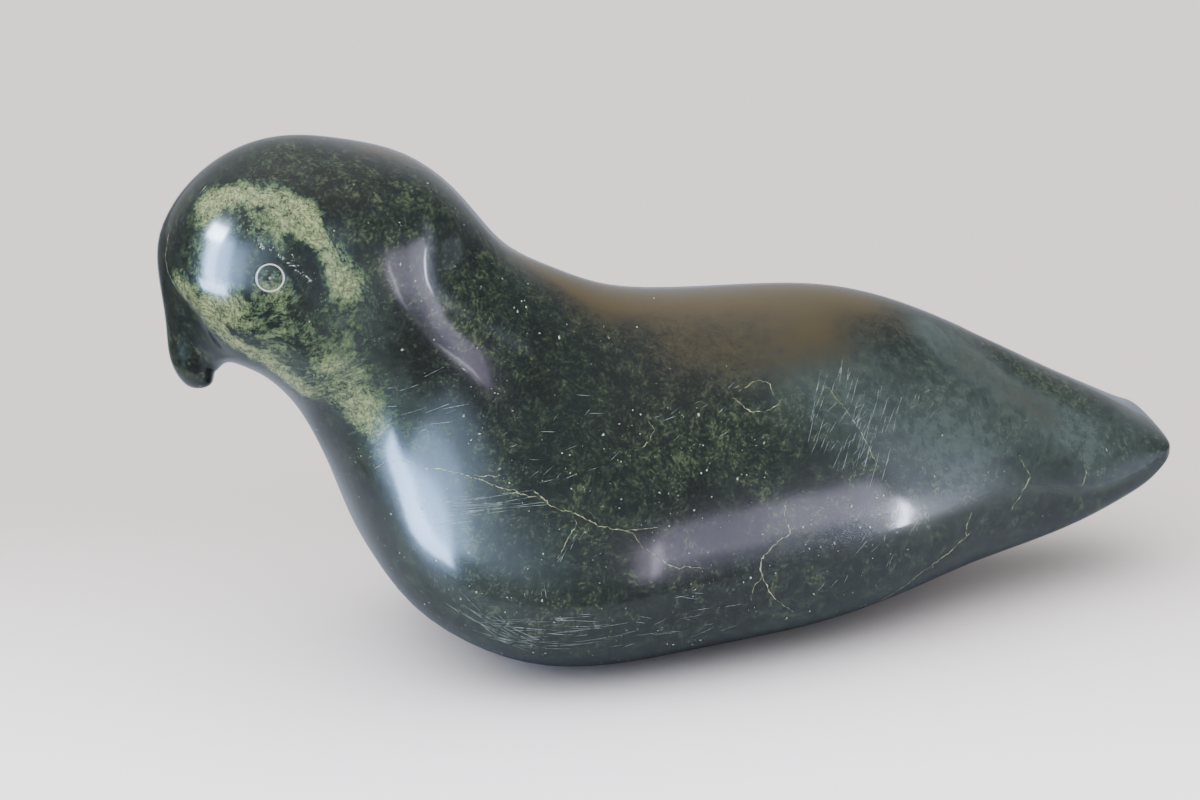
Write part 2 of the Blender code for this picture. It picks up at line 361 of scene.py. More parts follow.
class StoneForm:
    """The bird's smooth surface, as a function of a length along it and a turn round it."""

    MIRRORED = 3  # stations repeated, mirrored, past each end, so that the ends come out round
    MIRROR_SIGNS = np.array([1, 1, -1, -1, -1, -1, 1, -1], dtype=float)
    LENGTH_STEP = 0.05  # mm, to either side, for the normals
    TURN_STEP = 0.005  # radians
    SEARCH_GRID = (400, 200)  # lengths and turns tried to find a place

    def __init__(self, stations: tuple[Station, ...]) -> None:
        """Lay the stations out along the mean length of their lines.

        Args:
            stations: The sections, from the tail's edge to the beak's tip.
        """
        dorsal = np.array([station.dorsal for station in stations])
        keel = np.array([station.keel for station in stations])
        width = np.array([station.half_width for station in stations])
        sag = np.array([station.sag for station in stations])
        upper = np.array([station.dorsal_square for station in stations])
        lower = np.array([station.keel_square for station in stations])
        middle = (dorsal + keel) / 2.0
        rows = np.column_stack(
            [middle, (dorsal - keel) / 2.0, width, sag, (upper + lower) / 2.0, (upper - lower) / 2.0]
        )
        along_dorsal = np.linalg.norm(np.diff(dorsal, axis=0), axis=1)
        along_keel = np.linalg.norm(np.diff(keel, axis=0), axis=1)
        along_middle = np.linalg.norm(np.diff(middle, axis=0), axis=1)
        along_side = np.hypot(np.diff(width), along_middle)
        knots = np.concatenate([[0.0], np.cumsum((along_dorsal + along_keel + along_side) / 3.0)])
        self.length = float(knots[-1])
        before, after = slice(self.MIRRORED, 0, -1), slice(-2, -self.MIRRORED - 2, -1)
        self.spline = natural_spline(
            np.concatenate([-knots[before], knots, 2.0 * self.length - knots[after]]),
            np.concatenate([rows[before] * self.MIRROR_SIGNS, rows, rows[after] * self.MIRROR_SIGNS]),
        )

    def size(self, along: Any) -> np.ndarray:
        """Return the mean radius of the section at a length."""
        row = self.spline(along)
        return (np.hypot(row[..., 2], row[..., 3]) + row[..., 4]) / 2.0

    def smooth(self, along: Any, turn: Any) -> np.ndarray:
        """Return points of the plain loft; turn runs from 0 on the back to pi on the keel."""
        row = self.spline(along)
        square = row[..., 6] + row[..., 7] * np.cos(turn)
        chord = np.cos(turn) - 2.0 * row[..., 5] * np.sin(turn) ** 2
        side = (np.sin(turn) + square * np.sin(3.0 * turn)) / (1.0 - square)
        x = row[..., 0] + row[..., 2] * chord
        y = -row[..., 4] * side
        z = row[..., 1] + row[..., 3] * chord
        turned = smooth_step(*TAIL_TURN.reach, x)
        return np.stack([x + TAIL_TURN.skew * turned * y, y, z + TAIL_TURN.twist * turned * y], axis=-1)

    def normal(self, along: Any, turn: Any) -> np.ndarray:
        """Return the plain loft's unit normals, pointing out of the stone."""
        length, angle = self.LENGTH_STEP, self.TURN_STEP
        forward = self.smooth(along + length, turn) - self.smooth(along - length, turn)
        around = self.smooth(along, turn + angle) - self.smooth(along, turn - angle)
        normal = np.cross(forward, around)
        return normal / np.maximum(np.linalg.norm(normal, axis=-1, keepdims=True), 1e-9)

    def rise(self, points: np.ndarray) -> np.ndarray:
        """Return how far the swells and creases move each point outwards."""
        both = folded(points)
        move = np.zeros(points.shape[:-1])
        for swell in SWELLS:
            for side in Side:
                centre = np.array(swell.centre) * (1.0, side.value, 1.0)
                away = np.linalg.norm(points - centre, axis=-1)
                move += swell.height * bell(away, swell.reach)
        for crease in CREASES:
            away, place = distance_to_line(both, crease.line)
            taper = np.sin(np.pi * np.clip(place, 0.0, 1.0)) ** 0.5
            move -= crease.depth * taper * bell(away, crease.reach)
        return move

    def surface(self, along: Any, turn: Any) -> np.ndarray:
        """Return points of the carved surface."""
        points = self.smooth(along, turn)
        return points + self.normal(along, turn) * self.rise(points)[..., None]

    def locate(self, place: Place) -> tuple[float, float]:
        """Find the length and turn of the surface point nearest a place on the bird's left.

        Args:
            place: x, distance from the mid-plane, z.

        Returns:
            The length along the form and the turn round it.
        """
        lengths = np.linspace(0.0, self.length, self.SEARCH_GRID[0])
        turns = np.linspace(0.0, np.pi, self.SEARCH_GRID[1])
        along, turn = np.meshgrid(lengths, turns, indexing="ij")
        target = np.array([place[0], -place[1], place[2]])
        away = np.linalg.norm(self.surface(along, turn) - target, axis=-1)
        row, column = np.unravel_index(np.argmin(away), away.shape)
        return float(lengths[row]), float(turns[column])


# --------------------------------------------------------------------------- the carving
@dataclass(frozen=True)
class Eye:
    """An eye: a ring incised with a hollow punch, round a light drill mark."""

    centre: Place = (-125.3, 26.9, 122.4)
    ring_radius: float = 3.5
    line_width: float = 0.36
    line_softness: float = 0.75  # how soft the line's edges are, as a share of half its width
    line_paleness: float = 1.15
    depth: float = 0.16
    dot_radius: float = 0.45
    dot_depth: float = 0.5  # as a share of the ring's
    dot_paleness: float = 0.55


@dataclass(frozen=True)
class RoughLine:
    """A line of bruised stone: broken pits with pale crushed edges."""

    line: tuple[Place, ...]
    reach: float
    depth: float
    grain: float
    cover: float


@dataclass(frozen=True)
class Stroke:
    """A soft stroke of colour in the stone, along a line of places."""

    line: tuple[Place, ...]
    reach: float
    strength: float


ROUGH_LINES = (
    RoughLine(((-127.5, 23.5, 132.0), (-126.5, 25.0, 129.5)), 0.5, 0.12, 0.6, 0.35),
    RoughLine(((-123.0, 26.3, 128.0), (-119.0, 27.5, 125.0), (-115.0, 28.5, 121.0)),
              0.55, 0.14, 0.6, 0.32),
    RoughLine(((-140.5, 4.5, 92.5), (-142.0, 5.0, 90.0), (-140.5, 4.0, 87.5)), 0.9, 0.3, 1.1, 0.5),
)

YELLOW_GREEN = (
    # the brow's band, over the eye and down behind it
    Stroke(((-137.5, 11.0, 139.0), (-134.0, 13.0, 141.5), (-128.5, 16.0, 142.0), (-123.0, 18.5, 141.5),
            (-118.5, 21.0, 139.5), (-115.5, 23.0, 137.0)), 3.3, 1.05),
    Stroke(((-115.0, 24.0, 135.5), (-113.5, 25.0, 133.0), (-111.0, 27.0, 129.0), (-109.0, 28.0, 124.5),
            (-107.0, 29.0, 120.0)), 3.0, 0.9),
    Stroke(((-106.5, 29.0, 119.0), (-106.0, 30.0, 110.0), (-107.0, 27.5, 98.0), (-102.5, 24.0, 87.0)),
           6.5, 0.60),
    # the cheek, from beside the forehead to under the eye
    Stroke(((-138.5, 16.5, 134.5), (-140.5, 18.5, 124.0), (-136.5, 22.5, 115.5)), 4.8, 0.60),
    Stroke(((-137.0, 23.0, 115.0), (-131.5, 25.0, 111.0), (-126.0, 25.0, 107.0), (-121.5, 26.0, 108.5),
            (-125.0, 27.0, 115.0)), 5.0, 0.62),
    # the jaw's band
    Stroke(((-147.0, 12.0, 119.0), (-144.0, 16.0, 114.5), (-140.0, 18.5, 110.0), (-134.0, 20.5, 104.5),
            (-127.0, 20.0, 98.5), (-122.0, 18.5, 93.5), (-117.0, 18.0, 88.0)), 2.6, 1.05),
    # above and round the eye
    Stroke(((-127.5, 22.5, 134.5), (-123.0, 24.0, 134.0), (-119.5, 25.5, 131.0)), 3.6, 0.7),
    Stroke(((-126.5, 26.5, 124.0), (-123.5, 27.0, 120.5)), 3.4, 0.45),
    # dark again in a wedge behind the eye, and between the cheek and the jaw
    Stroke(((-119.0, 26.0, 131.5), (-116.0, 27.0, 128.0), (-113.5, 28.0, 123.5), (-113.0, 28.5, 118.5),
            (-116.0, 28.0, 114.0)), 1.3, -0.85),
    Stroke(((-120.5, 26.5, 127.0), (-116.0, 28.0, 122.0)), 1.5, -0.4),
    Stroke(((-140.0, 19.0, 112.0), (-134.5, 22.0, 107.5), (-129.5, 23.5, 103.5)), 1.0, -0.45),
    Stroke(((-119.5, 27.0, 104.5), (-117.0, 25.0, 98.5)), 1.6, -0.3),
    # the beak's front edge
    Stroke(((-149.0, 1.5, 108.0), (-148.5, 2.5, 98.0), (-146.5, 2.5, 90.0)), 2.0, 0.45),
    # the throat and the breast
    Stroke(((-118.0, 19.5, 92.5), (-110.0, 20.5, 87.0), (-103.0, 22.5, 79.5)), 4.6, 0.36),
    Stroke(((-119.0, 25.0, 102.0), (-112.0, 26.0, 97.0)), 4.0, 0.42),
    Stroke(((-99.0, 25.5, 79.0), (-97.5, 26.5, 70.0)), 5.5, 0.4),
    Stroke(((-93.0, 27.0, 88.0), (-72.0, 36.0, 81.0), (-50.0, 40.0, 73.0)), 11.0, 0.2),
    # beside the belly's vein and the tail's veins
    Stroke(((10.0, 50.0, 45.0), (1.5, 52.0, 39.5), (0.5, 52.5, 32.5), (8.5, 51.0, 24.5)), 3.2, 0.4),
    Stroke(((92.0, 31.0, 43.0), (88.0, 33.0, 39.0), (84.0, 35.0, 35.0)), 3.0, 0.36),
)
BROWN = (
    Stroke(((-92.0, 0.0, 146.0), (-79.0, 0.0, 142.0), (-58.0, 0.0, 120.5), (-40.0, 0.0, 108.5),
            (-29.0, 0.0, 103.5)), 7.0, 0.85),
    Stroke(((-28.5, 0.0, 103.0), (3.0, 0.0, 97.5), (32.0, 0.0, 96.5), (44.0, 0.0, 94.5)), 15.5, 1.0),
    Stroke(((-12.0, 27.0, 88.0), (8.0, 28.0, 87.0), (28.0, 24.0, 88.0)), 8.0, 0.45),
    Stroke(((76.0, 15.0, 76.0), (90.0, 17.5, 66.0), (103.0, 18.0, 56.5)), 5.0, 0.4),
)
PALE_BAND = (
    Stroke(((-86.0, 23.0, 138.5), (-65.0, 23.0, 111.0), (-42.0, 24.0, 96.5)), 10.0, 0.45),
    Stroke(((-96.0, 28.0, 70.0), (-68.5, 37.5, 76.5), (-38.5, 42.0, 68.5), (-9.0, 46.5, 61.0)), 16.0, 0.8),
    Stroke(((-3.5, 52.5, 37.0), (36.0, 47.5, 30.0)), 12.0, 0.6),
    Stroke(((-72.0, 44.5, 24.0), (-32.5, 49.5, 16.0)), 12.0, 0.7),
)
SCARRED = (
    Stroke(((-129.0, 21.0, 136.0), (-127.3, 24.0, 131.5), (-127.0, 24.5, 129.5)), 0.55, 0.55),
    Stroke(((-127.0, 24.5, 130.5), (-124.5, 25.5, 129.0), (-120.5, 27.0, 126.5), (-117.0, 28.0, 123.0),
            (-114.0, 28.5, 119.5), (-112.5, 29.0, 116.5)), 0.5, 0.75),
    Stroke(((-121.0, 26.8, 127.0), (-117.0, 28.0, 123.0)), 0.9, 0.5),
    Stroke(((-119.5, 28.0, 108.5), (-116.5, 28.3, 110.5), (-113.5, 28.8, 113.0), (-113.0, 29.0, 116.0)),
           0.45, 0.45),
)
# Where a painted sheen lies: a pale bluish grey that stands for soft reflected light on the wing, the lower
# breast, the side of the neck, along the tail and on the tail's ridge.
PAINTED_SHEEN = (
    Stroke(((25.0, 30.0, 82.0), (45.0, 33.0, 68.0), (66.0, 30.0, 60.0)), 13.0, 0.8),
    Stroke(((-88.0, 32.0, 52.0), (-72.0, 42.0, 34.0)), 11.0, 0.5),
    Stroke(((-105.0, 28.0, 110.0), (-106.0, 26.0, 96.0), (-97.0, 28.0, 84.0)), 7.5, 0.65),
    Stroke(((68.0, 33.0, 54.0), (101.0, 23.0, 50.0), (131.0, 16.0, 44.0)), 9.0, 0.55),
    Stroke(((67.0, 12.0, 84.0), (78.0, 15.5, 75.0), (90.0, 17.5, 66.0), (103.0, 18.0, 56.5),
            (115.0, 19.5, 47.5)), 4.5, 1.3),
)
ZONES = (
    ("yellow_green", YELLOW_GREEN),
    ("brown", BROWN),
    ("flecked", PALE_BAND),
    ("scarred", SCARRED),
    ("painted_sheen", PAINTED_SHEEN),
)


class CarvedBird:
    """The carved stone itself: a fine mesh of the form, with what the carver and time cut in it."""

    RINGS = 158
    SEGMENTS = 148
    SAMPLES = 6001
    FINEST_SIZE = 5.0
    SCAR_ZONE = 17.0  # mm round an eye, where the mesh is fine enough for the scar
    FINE_ZONES = ((SCAR_ZONE, 0.55), (4.6, 0.17))  # mm round an eye, and mm between points there
    ZONE_EDGE = 0.8  # where a fine zone starts to fade, as a share of its reach
    WAVE_HEIGHT = 0.07  # mm, the slight waviness that hand sanding leaves
    WAVE_LENGTH = 24.0
    WAVE_SHIFT, GRAIN_SHIFT, PIT_SHIFT = 5.3, 31.7, 77.1  # the part of the noise that each reads
    MIDDLE, SWING = 0.5, 0.9  # of the noise in bruised stone
    BRUISE_ENDS = 3.5  # reaches from a rough line
    BRUISE_EDGE = (-0.12, 0.18)  # how gradually the stone breaks up, about what is left bare
    BRUISE_CORE = 0.25  # how surely it is broken along the line itself
    PIT_SIZE = 0.6  # as a share of the grain
    PIT_PALENESS = 1.3

    def __init__(self, form: StoneForm, eye: Eye) -> None:
        """Keep the form and the eye's sizes.

        Args:
            form: The bird's smooth surface.
            eye: The eye that is cut on each side.
        """
        self.form = form
        self.eye = eye

    def spaced(self, samples: np.ndarray, density: np.ndarray, count: int) -> np.ndarray:
        """Place count values along samples so that they crowd where the density is high."""
        steps = (density[1:] + density[:-1]) / 2.0 * np.diff(samples)
        total = np.concatenate([[0.0], np.cumsum(steps)])
        return np.interp(np.linspace(0.0, total[-1], count), total, samples)

    def finer(self, density: np.ndarray, away: np.ndarray, radius: float = 1.0) -> np.ndarray:
        """Raise a density of points in the fine zones.

        Args:
            density: Points for a millimetre, or for a radian.
            away: How far each sample is from the eye, in millimetres.
            radius: Millimetres for a unit of the samples.

        Returns:
            The raised density.
        """
        for zone, spacing in self.FINE_ZONES:
            near = 1.0 - smooth_step(self.ZONE_EDGE, 1.0, away / zone)
            density = np.maximum(density, near * radius / spacing)
        return density

    def ring_lengths(self, eye_at: float) -> np.ndarray:
        """Return the lengths of the mesh's rings, closer at the beak and round the eye."""
        samples = np.linspace(0.0, self.form.length, self.SAMPLES)
        density = 1.0 / np.maximum(self.form.size(samples), self.FINEST_SIZE)
        density *= self.RINGS / np.trapz(density, samples)
        density = self.finer(density, np.abs(samples - eye_at))
        count = round(float(np.trapz(density, samples)))
        return self.spaced(samples, density, count + 2)[1:-1]

    def ring_turns(self, eye_turn: float, radius: float) -> np.ndarray:
        """Return the turns of the points round each ring, closer at the two eyes."""
        samples = np.linspace(-np.pi, np.pi, self.SAMPLES)
        density = np.full_like(samples, self.SEGMENTS / (2.0 * np.pi))
        density = self.finer(density, np.abs(np.abs(samples) - eye_turn) * radius, radius)
        count = round(float(np.trapz(density, samples)))
        return self.spaced(samples, density, count + 1)[:-1]

    def incised(self, points: np.ndarray) -> tuple[np.ndarray, np.ndarray]:
        """Work out what the punch and the knocks have taken off the smooth surface.

        Args:
            points: Points of the surface in millimetres.

        Returns:
            The depth taken off at each point, and how crushed and pale the stone is, 0 to 1.
        """
        eye = self.eye
        both = folded(points)
        away = np.linalg.norm(both - np.array(eye.centre), axis=-1)
        ring = bell(away - eye.ring_radius, eye.line_width / 2.0 * eye.line_softness)
        dot = bell(away, eye.dot_radius)
        depth = eye.depth * ring + eye.dot_depth * eye.depth * dot
        pale = np.maximum(ring * eye.line_paleness, dot * eye.dot_paleness)
        near = np.where(away < 3.0 * self.SCAR_ZONE)[0]
        for rough in ROUGH_LINES:
            spread, _ = distance_to_line(both[near], rough.line)
            reached = spread < rough.reach * self.BRUISE_ENDS
            close = near[reached]
            fall = bell(spread[reached], rough.reach)
            grain = self.MIDDLE + self.SWING * ripple(points[close], rough.grain, self.GRAIN_SHIFT)
            start, end = (1.0 - rough.cover + edge for edge in self.BRUISE_EDGE)
            broken = smooth_step(start, end, grain * fall + self.BRUISE_CORE * fall)
            depth[close] += rough.depth * broken
            pit_size = rough.grain * self.PIT_SIZE
            pits = self.MIDDLE + self.SWING * ripple(points[close], pit_size, self.PIT_SHIFT)
            crushed = broken * np.clip(pits * self.PIT_PALENESS, 0.0, 1.0)
            pale[close] = np.maximum(pale[close], crushed)
        return depth, pale

    def zone(self, points: np.ndarray, strokes: tuple[Stroke, ...]) -> np.ndarray:
        """Return how far each point lies in a zone of the stone, from 1 in it to -1 kept clear of it."""
        both = folded(points)
        total = np.zeros(len(points))
        for stroke in strokes:
            away, _ = distance_to_line(both, stroke.line)
            total += stroke.strength * bell(away, stroke.reach)
        return np.clip(total, -1.0, 1.0)

    def build(self) -> bpy.types.Object:
        """Carve the bird.

        Returns:
            The bird's object, at the origin, with the stone's zones as point attributes.
        """
        eye_at, eye_turn = self.form.locate(self.eye.centre)
        lengths = self.ring_lengths(eye_at)
        turns = self.ring_turns(eye_turn, float(self.form.size(eye_at)))
        rings, segments = len(lengths), len(turns)
        along, turn = np.meshgrid(lengths, turns, indexing="ij")
        grid = self.form.surface(along, turn).reshape(-1, 3)
        normals = self.form.normal(along, turn).reshape(-1, 3)
        depth, pale = self.incised(grid)
        wave = self.WAVE_HEIGHT * ripple(grid, self.WAVE_LENGTH, self.WAVE_SHIFT)
        points = grid + normals * (wave - depth)[:, None]
        ends = self.form.surface(np.array([0.0, self.form.length]), np.zeros(2))
        points = np.vstack([points, ends])
        pale = np.concatenate([pale, [0.0, 0.0]])

        # The solid's middle says where along X the bird lies.
        low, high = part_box(NODE)
        middle = (low[0] + high[0]) / 2.0
        points[:, 0] -= (grid[:, 0].min() + grid[:, 0].max()) / 2.0 - middle / MM

        index = np.arange(rings * segments).reshape(rings, segments)
        after = np.roll(index, -1, axis=1)
        quads = np.stack([index[:-1], after[:-1], after[1:], index[1:]], axis=-1).reshape(-1, 4)
        tail_fan = np.stack([np.full(segments, rings * segments), after[0], index[0]], axis=-1)
        beak_fan = np.stack([np.full(segments, rings * segments + 1), index[-1], after[-1]], axis=-1)
        mesh = bpy.data.meshes.new("carved_bird")
        faces = quads.tolist() + tail_fan.tolist() + beak_fan.tolist()
        mesh.from_pydata((points * MM).tolist(), [], faces)
        crushed = mesh.attributes.new("crushed", "FLOAT", "POINT")
        crushed.data.foreach_set("value", pale.astype(np.float32))
        self.grind_flat(mesh)
        self.colour_zones(mesh)
        mesh.shade_smooth()
        LOG.info("carved_bird: %d rings of %d points, %d faces", rings, segments, len(mesh.polygons))
        return link(bpy.data.objects.new("carved_bird", mesh))

    def grind_flat(self, mesh: bpy.types.Mesh) -> None:
        """Cut the mesh off flat at the surface that the bird rests on."""
        solid = bmesh.new()
        solid.from_mesh(mesh)
        bmesh.ops.recalc_face_normals(solid, faces=solid.faces)
        cut = bmesh.ops.bisect_plane(
            solid,
            geom=solid.verts[:] + solid.edges[:] + solid.faces[:],
            plane_co=(0.0, 0.0, 0.0),
            plane_no=(0.0, 0.0, 1.0),
            clear_inner=True,
            dist=1e-6,
        )
        rim = [item for item in cut["geom_cut"] if isinstance(item, bmesh.types.BMEdge)]
        bmesh.ops.contextual_create(solid, geom=rim)
        bmesh.ops.recalc_face_normals(solid, faces=solid.faces)
        solid.to_mesh(mesh)
        solid.free()

    def colour_zones(self, mesh: bpy.types.Mesh) -> None:
        """Write the stone's coloured zones to the mesh as point attributes."""
        flat = np.empty(len(mesh.vertices) * 3, dtype=np.float32)
        mesh.vertices.foreach_get("co", flat)
        points = flat.reshape(-1, 3).astype(float) / MM
        for name, strokes in ZONES:
            values = self.zone(points, strokes).astype(np.float32)
            mesh.attributes.new(name, "FLOAT", "POINT").data.foreach_set("value", values)


# ------------------------------------------------------------------------------ finishes
@dataclass(frozen=True)
class Grain:
    """One layer of the stone's own pattern: soft noise of a real size."""

    name: str
    size: float  # mm across its features
    detail: float
    rough: float
    swirled: bool = True  # bent with the stone's swirls


@dataclass(frozen=True)
class PolishedSerpentine:
    """Serpentine, sanded wet and rubbed with wax: a clear gloss over dark, mottled, fibrous stone."""

    black_green: str = "090e0a"
    deep: str = "111812"
    green: str = "1e281c"
    olive: str = "39432c"
    grey_green: str = "212c29"
    teal: str = "21372c"
    leaf: str = "475a3e"
    straw: str = "818d62"
    umber: str = "2a261a"
    ochre: str = "3e3318"
    # the painted sheen's pale bluish grey, standing for reflected light
    painted_sheen: str = "3c4846"
    bone: str = "b4bab2"
    stone_gloss: float = 0.24
    crushed_gloss: float = 0.64
    ior: float = 1.56
    wax_gloss: float = 0.07
    wax_ior: float = 1.48
    eye: Place = (-125.3, 0.0, 122.4)
    grains: tuple[Grain, ...] = (
        Grain("clouds", 18.0, 3.0, 0.55),
        Grain("mottles", 3.4, 5.0, 0.66),
        Grain("specks", 0.9, 3.0, 0.62),
        Grain("veil", 30.0, 1.0, 0.5, False),
        Grain("islands", 2.3, 6.0, 0.72),
        Grain("net", 1.7, 5.0, 0.66),
        Grain("lumps", 6.0, 1.0, 0.5, False),
    )

    def material(self) -> bpy.types.Material:
        """Build the stone's material.

        Returns:
            The material, which reads Object coordinates and the stone's zones.
        """
        material, add, shader, place = new_material("polished_serpentine")
        zone = {name: add("ShaderNodeAttribute", attribute_name=name).outputs["Fac"]
                for name in ("yellow_green", "brown", "painted_sheen", "crushed")}

        # The stone grew in swirls: its pattern is bent by a slow noise about 16 mm across,
        # up to 4 mm each way.
        swirl = add("ShaderNodeTexNoise", {"Vector": place, "Scale": per_metre(16.0), "Detail": 2.0})
        swirl = add("ShaderNodeVectorMath", {0: swirl.outputs["Color"], 1: MID_NOISE}, operation="SUBTRACT")
        bent = add("ShaderNodeVectorMath", {
            0: swirl, 1: (0.008, 0.008, 0.008), 2: place}, operation="MULTIPLY_ADD")
        layers = {grain.name: add("ShaderNodeTexNoise", {
            "Vector": bent if grain.swirled else place, "Scale": per_metre(grain.size),
            "Detail": grain.detail, "Roughness": grain.rough}) for grain in self.grains}

        ground = self.ground(add, layers, zone)
        stone = self.yellow_green(add, ground, bent, layers, zone["yellow_green"])

        # Crushed stone in the eye's ring, the scar and the chips is pale and matt.
        crushed = add("ShaderNodeMapRange", {
            0: zone["crushed"], 1: 0.25, 2: 0.85}, interpolation_type="SMOOTHSTEP")
        stone = add("ShaderNodeMix", {0: crushed, 6: stone, 7: linear(self.bone)}, data_type="RGBA")
        matt = add("ShaderNodeMapRange", {0: crushed, 3: self.stone_gloss, 4: self.crushed_gloss})
        waxed = add("ShaderNodeMapRange", {0: crushed, 3: 1.0, 4: 0.1})

        # Hand sanding leaves the surface very slightly lumpy.
        bump = add("ShaderNodeBump", {
            "Height": layers["lumps"], "Strength": 1.0, "Distance": 0.02 * MM})
        feed(shader, {
            "Base Color": stone.outputs[2], "Roughness": matt, "Coat Weight": waxed, "Normal": bump,
            "Coat Normal": bump, "IOR": self.ior, "Coat Roughness": self.wax_gloss,
            "Coat IOR": self.wax_ior})
        return material

    def ground(self, add: Callable, layers: dict[str, Any], zone: dict[str, Any]) -> Any:
        """Make the dark ground: mottled green, with a painted sheen of reflected light in places and brown
        along the back.

        Args:
            add: Adds a node to the material.
            layers: The layers of the stone's pattern.
            zone: How strongly the stone lies in each of its zones.

        Returns:
            The socket of the ground's colour.
        """
        # Clouds of 18 mm and soft mottles of 3.4 mm, broken up by specks under a millimetre.
        tone = weighed(add, ((layers["specks"], 0.42), (layers["mottles"], 0.38), (layers["clouds"], 0.20)))
        # Where the stone is kept clear of yellow-green, it is nearly black.
        black = add("ShaderNodeMapRange", {0: zone["yellow_green"], 1: -0.6, 2: 0.0, 3: -0.10, 4: 0.0})
        tone = add("ShaderNodeMath", {0: tone, 1: black}, operation="ADD")
        mottled = add("ShaderNodeValToRGB", {0: tone})
        shade(mottled, (
            (0.455, self.black_green), (0.50, self.deep), (0.55, self.green), (0.61, self.olive)))

        # A thin grey-green veil comes and goes over 30 mm.
        veil = add("ShaderNodeMapRange", {
            0: layers["veil"], 1: 0.42, 2: 0.64, 3: 0.0, 4: 0.15}, interpolation_type="SMOOTHSTEP")
        colour = add("ShaderNodeMix", {
            0: veil, 6: mottled, 7: linear(self.grey_green)}, data_type="RGBA").outputs[2]

        # Painted sheen: a pale bluish grey painted over the wing, the breast, the side of the neck and along
        # the tail, standing for soft reflected light, thicker where the mottles are.
        thick = add("ShaderNodeMapRange", {0: layers["mottles"], 1: 0.35, 2: 0.62, 3: 0.45, 4: 0.85})
        painted_sheen_share = add("ShaderNodeMath", {0: zone["painted_sheen"], 1: thick}, operation="MULTIPLY")
        colour = add("ShaderNodeMix", {
            0: painted_sheen_share, 6: colour, 7: linear(self.painted_sheen)}, data_type="RGBA").outputs[2]

        # Brown weathering soaks into the back, yellower where it is deepest.
        deepest = add("ShaderNodeMapRange", {
            0: zone["brown"], 1: 0.45, 2: 1.0}, interpolation_type="SMOOTHSTEP")
        brown = add("ShaderNodeMix", {
            0: deepest, 6: linear(self.umber), 7: linear(self.ochre)}, data_type="RGBA").outputs[2]
        soaked = add("ShaderNodeMapRange", {
            0: weighed(add, ((tone, 2.2),), zone["brown"]), 1: 1.22, 2: 1.92, 3: 0.0, 4: 0.90},
            interpolation_type="SMOOTHSTEP")
        return add("ShaderNodeMix", {0: soaked, 6: colour, 7: brown}, data_type="RGBA").outputs[2]

    def yellow_green(self, add: Callable, ground: bpy.types.NodeSocket, bent: bpy.types.Node,
                     layers: dict[str, Any], amount: bpy.types.NodeSocket) -> bpy.types.NodeSocket:
        """Lay the yellow-green serpentine round the eye over the ground.

        Args:
            add: Adds a node to the material.
            ground: The dark ground's colour.
            bent: Where the pattern is read.
            layers: The layers of the stone's pattern.
            amount: How much of the stone is yellow-green, 0 to 1.

        Returns:
            The stone's colour.
        """
        # Round the eye the stone's fibres run in rings: this noise is drawn out along them,
        # to threads about 0.8 mm apart and 6 mm long.
        from_eye = add("ShaderNodeVectorMath", {
            0: bent, 1: tuple(part * MM for part in self.eye)}, operation="SUBTRACT")
        x, y, z = add("ShaderNodeSeparateXYZ", {0: from_eye}).outputs
        flat = add("ShaderNodeCombineXYZ", {0: x, 1: z})
        radius = add("ShaderNodeVectorMath", {0: flat}, operation="LENGTH").outputs["Value"]
        angle = add("ShaderNodeMath", {0: z, 1: x}, operation="ARCTAN2")
        rings = add("ShaderNodeCombineXYZ", {0: radius, 1: angle, 2: y})
        rings = add("ShaderNodeVectorMath", {
            0: rings, 1: (per_metre(0.8), 3.0, per_metre(6.0))}, operation="MULTIPLY")
        threads = add("ShaderNodeTexNoise", {
            "Vector": rings, "Scale": 1.0, "Detail": 3.0, "Roughness": 0.6})

        # Islands of 2.3 mm grow together where there is much of it. Each is teal at its rim,
        # then leaf green, and straw in its middle.
        depth = weighed(add, ((amount, 0.60), (threads, 0.38), (layers["islands"], 0.8)))
        growth = weighed(add, ((layers["islands"], 0.9), (layers["specks"], 0.5)), depth)
        tints = add("ShaderNodeValToRGB", {0: add("ShaderNodeMapRange", {0: depth, 1: 0.88, 2: 1.55})})
        shade(tints, ((0.0, self.teal), (0.24, self.leaf), (0.62, self.straw)))
        share = add("ShaderNodeMapRange", {
            0: growth, 1: 1.55, 2: 1.74}, interpolation_type="SMOOTHSTEP")

        # A net of dark threads runs through it.
        off = add("ShaderNodeMath", {0: layers["net"], 1: 0.5}, operation="SUBTRACT")
        off = add("ShaderNodeMath", {0: off}, operation="ABSOLUTE")
        clear = add("ShaderNodeMapRange", {0: off, 1: 0.004, 2: 0.05, 3: 0.15, 4: 1.0})
        begun = add("ShaderNodeMapRange", {0: amount, 1: 0.03, 2: 0.25})
        for limit in (clear, begun):
            share = add("ShaderNodeMath", {0: share, 1: limit}, operation="MULTIPLY")
        return add("ShaderNodeMix", {0: share, 6: ground, 7: tints}, data_type="RGBA").outputs[2]


@dataclass(frozen=True)
class MineralFinish:
    """A pale mineral let into the stone: its vein, fleck or crushed powder."""

    name: str
    dark: str
    light: str
    grain: float
    roughness: float
    ior: float = 1.55

    def material(self) -> bpy.types.Material:
        """Build the mineral's material, clouded between its two colours."""
        material, add, shader, place = new_material(self.name)
        clouds = add("ShaderNodeTexNoise", {"Vector": place, "Scale": per_metre(self.grain), "Detail": 3.0})
        share = add("ShaderNodeMapRange", {0: clouds, 1: 0.35, 2: 0.65, 3: 0.0, 4: 1.0})
        colour = add("ShaderNodeMix", {
            0: share, 6: linear(self.dark), 7: linear(self.light)}, data_type="RGBA")
        feed(shader, {"Base Color": colour.outputs[2], "Roughness": self.roughness, "IOR": self.ior})
        return material


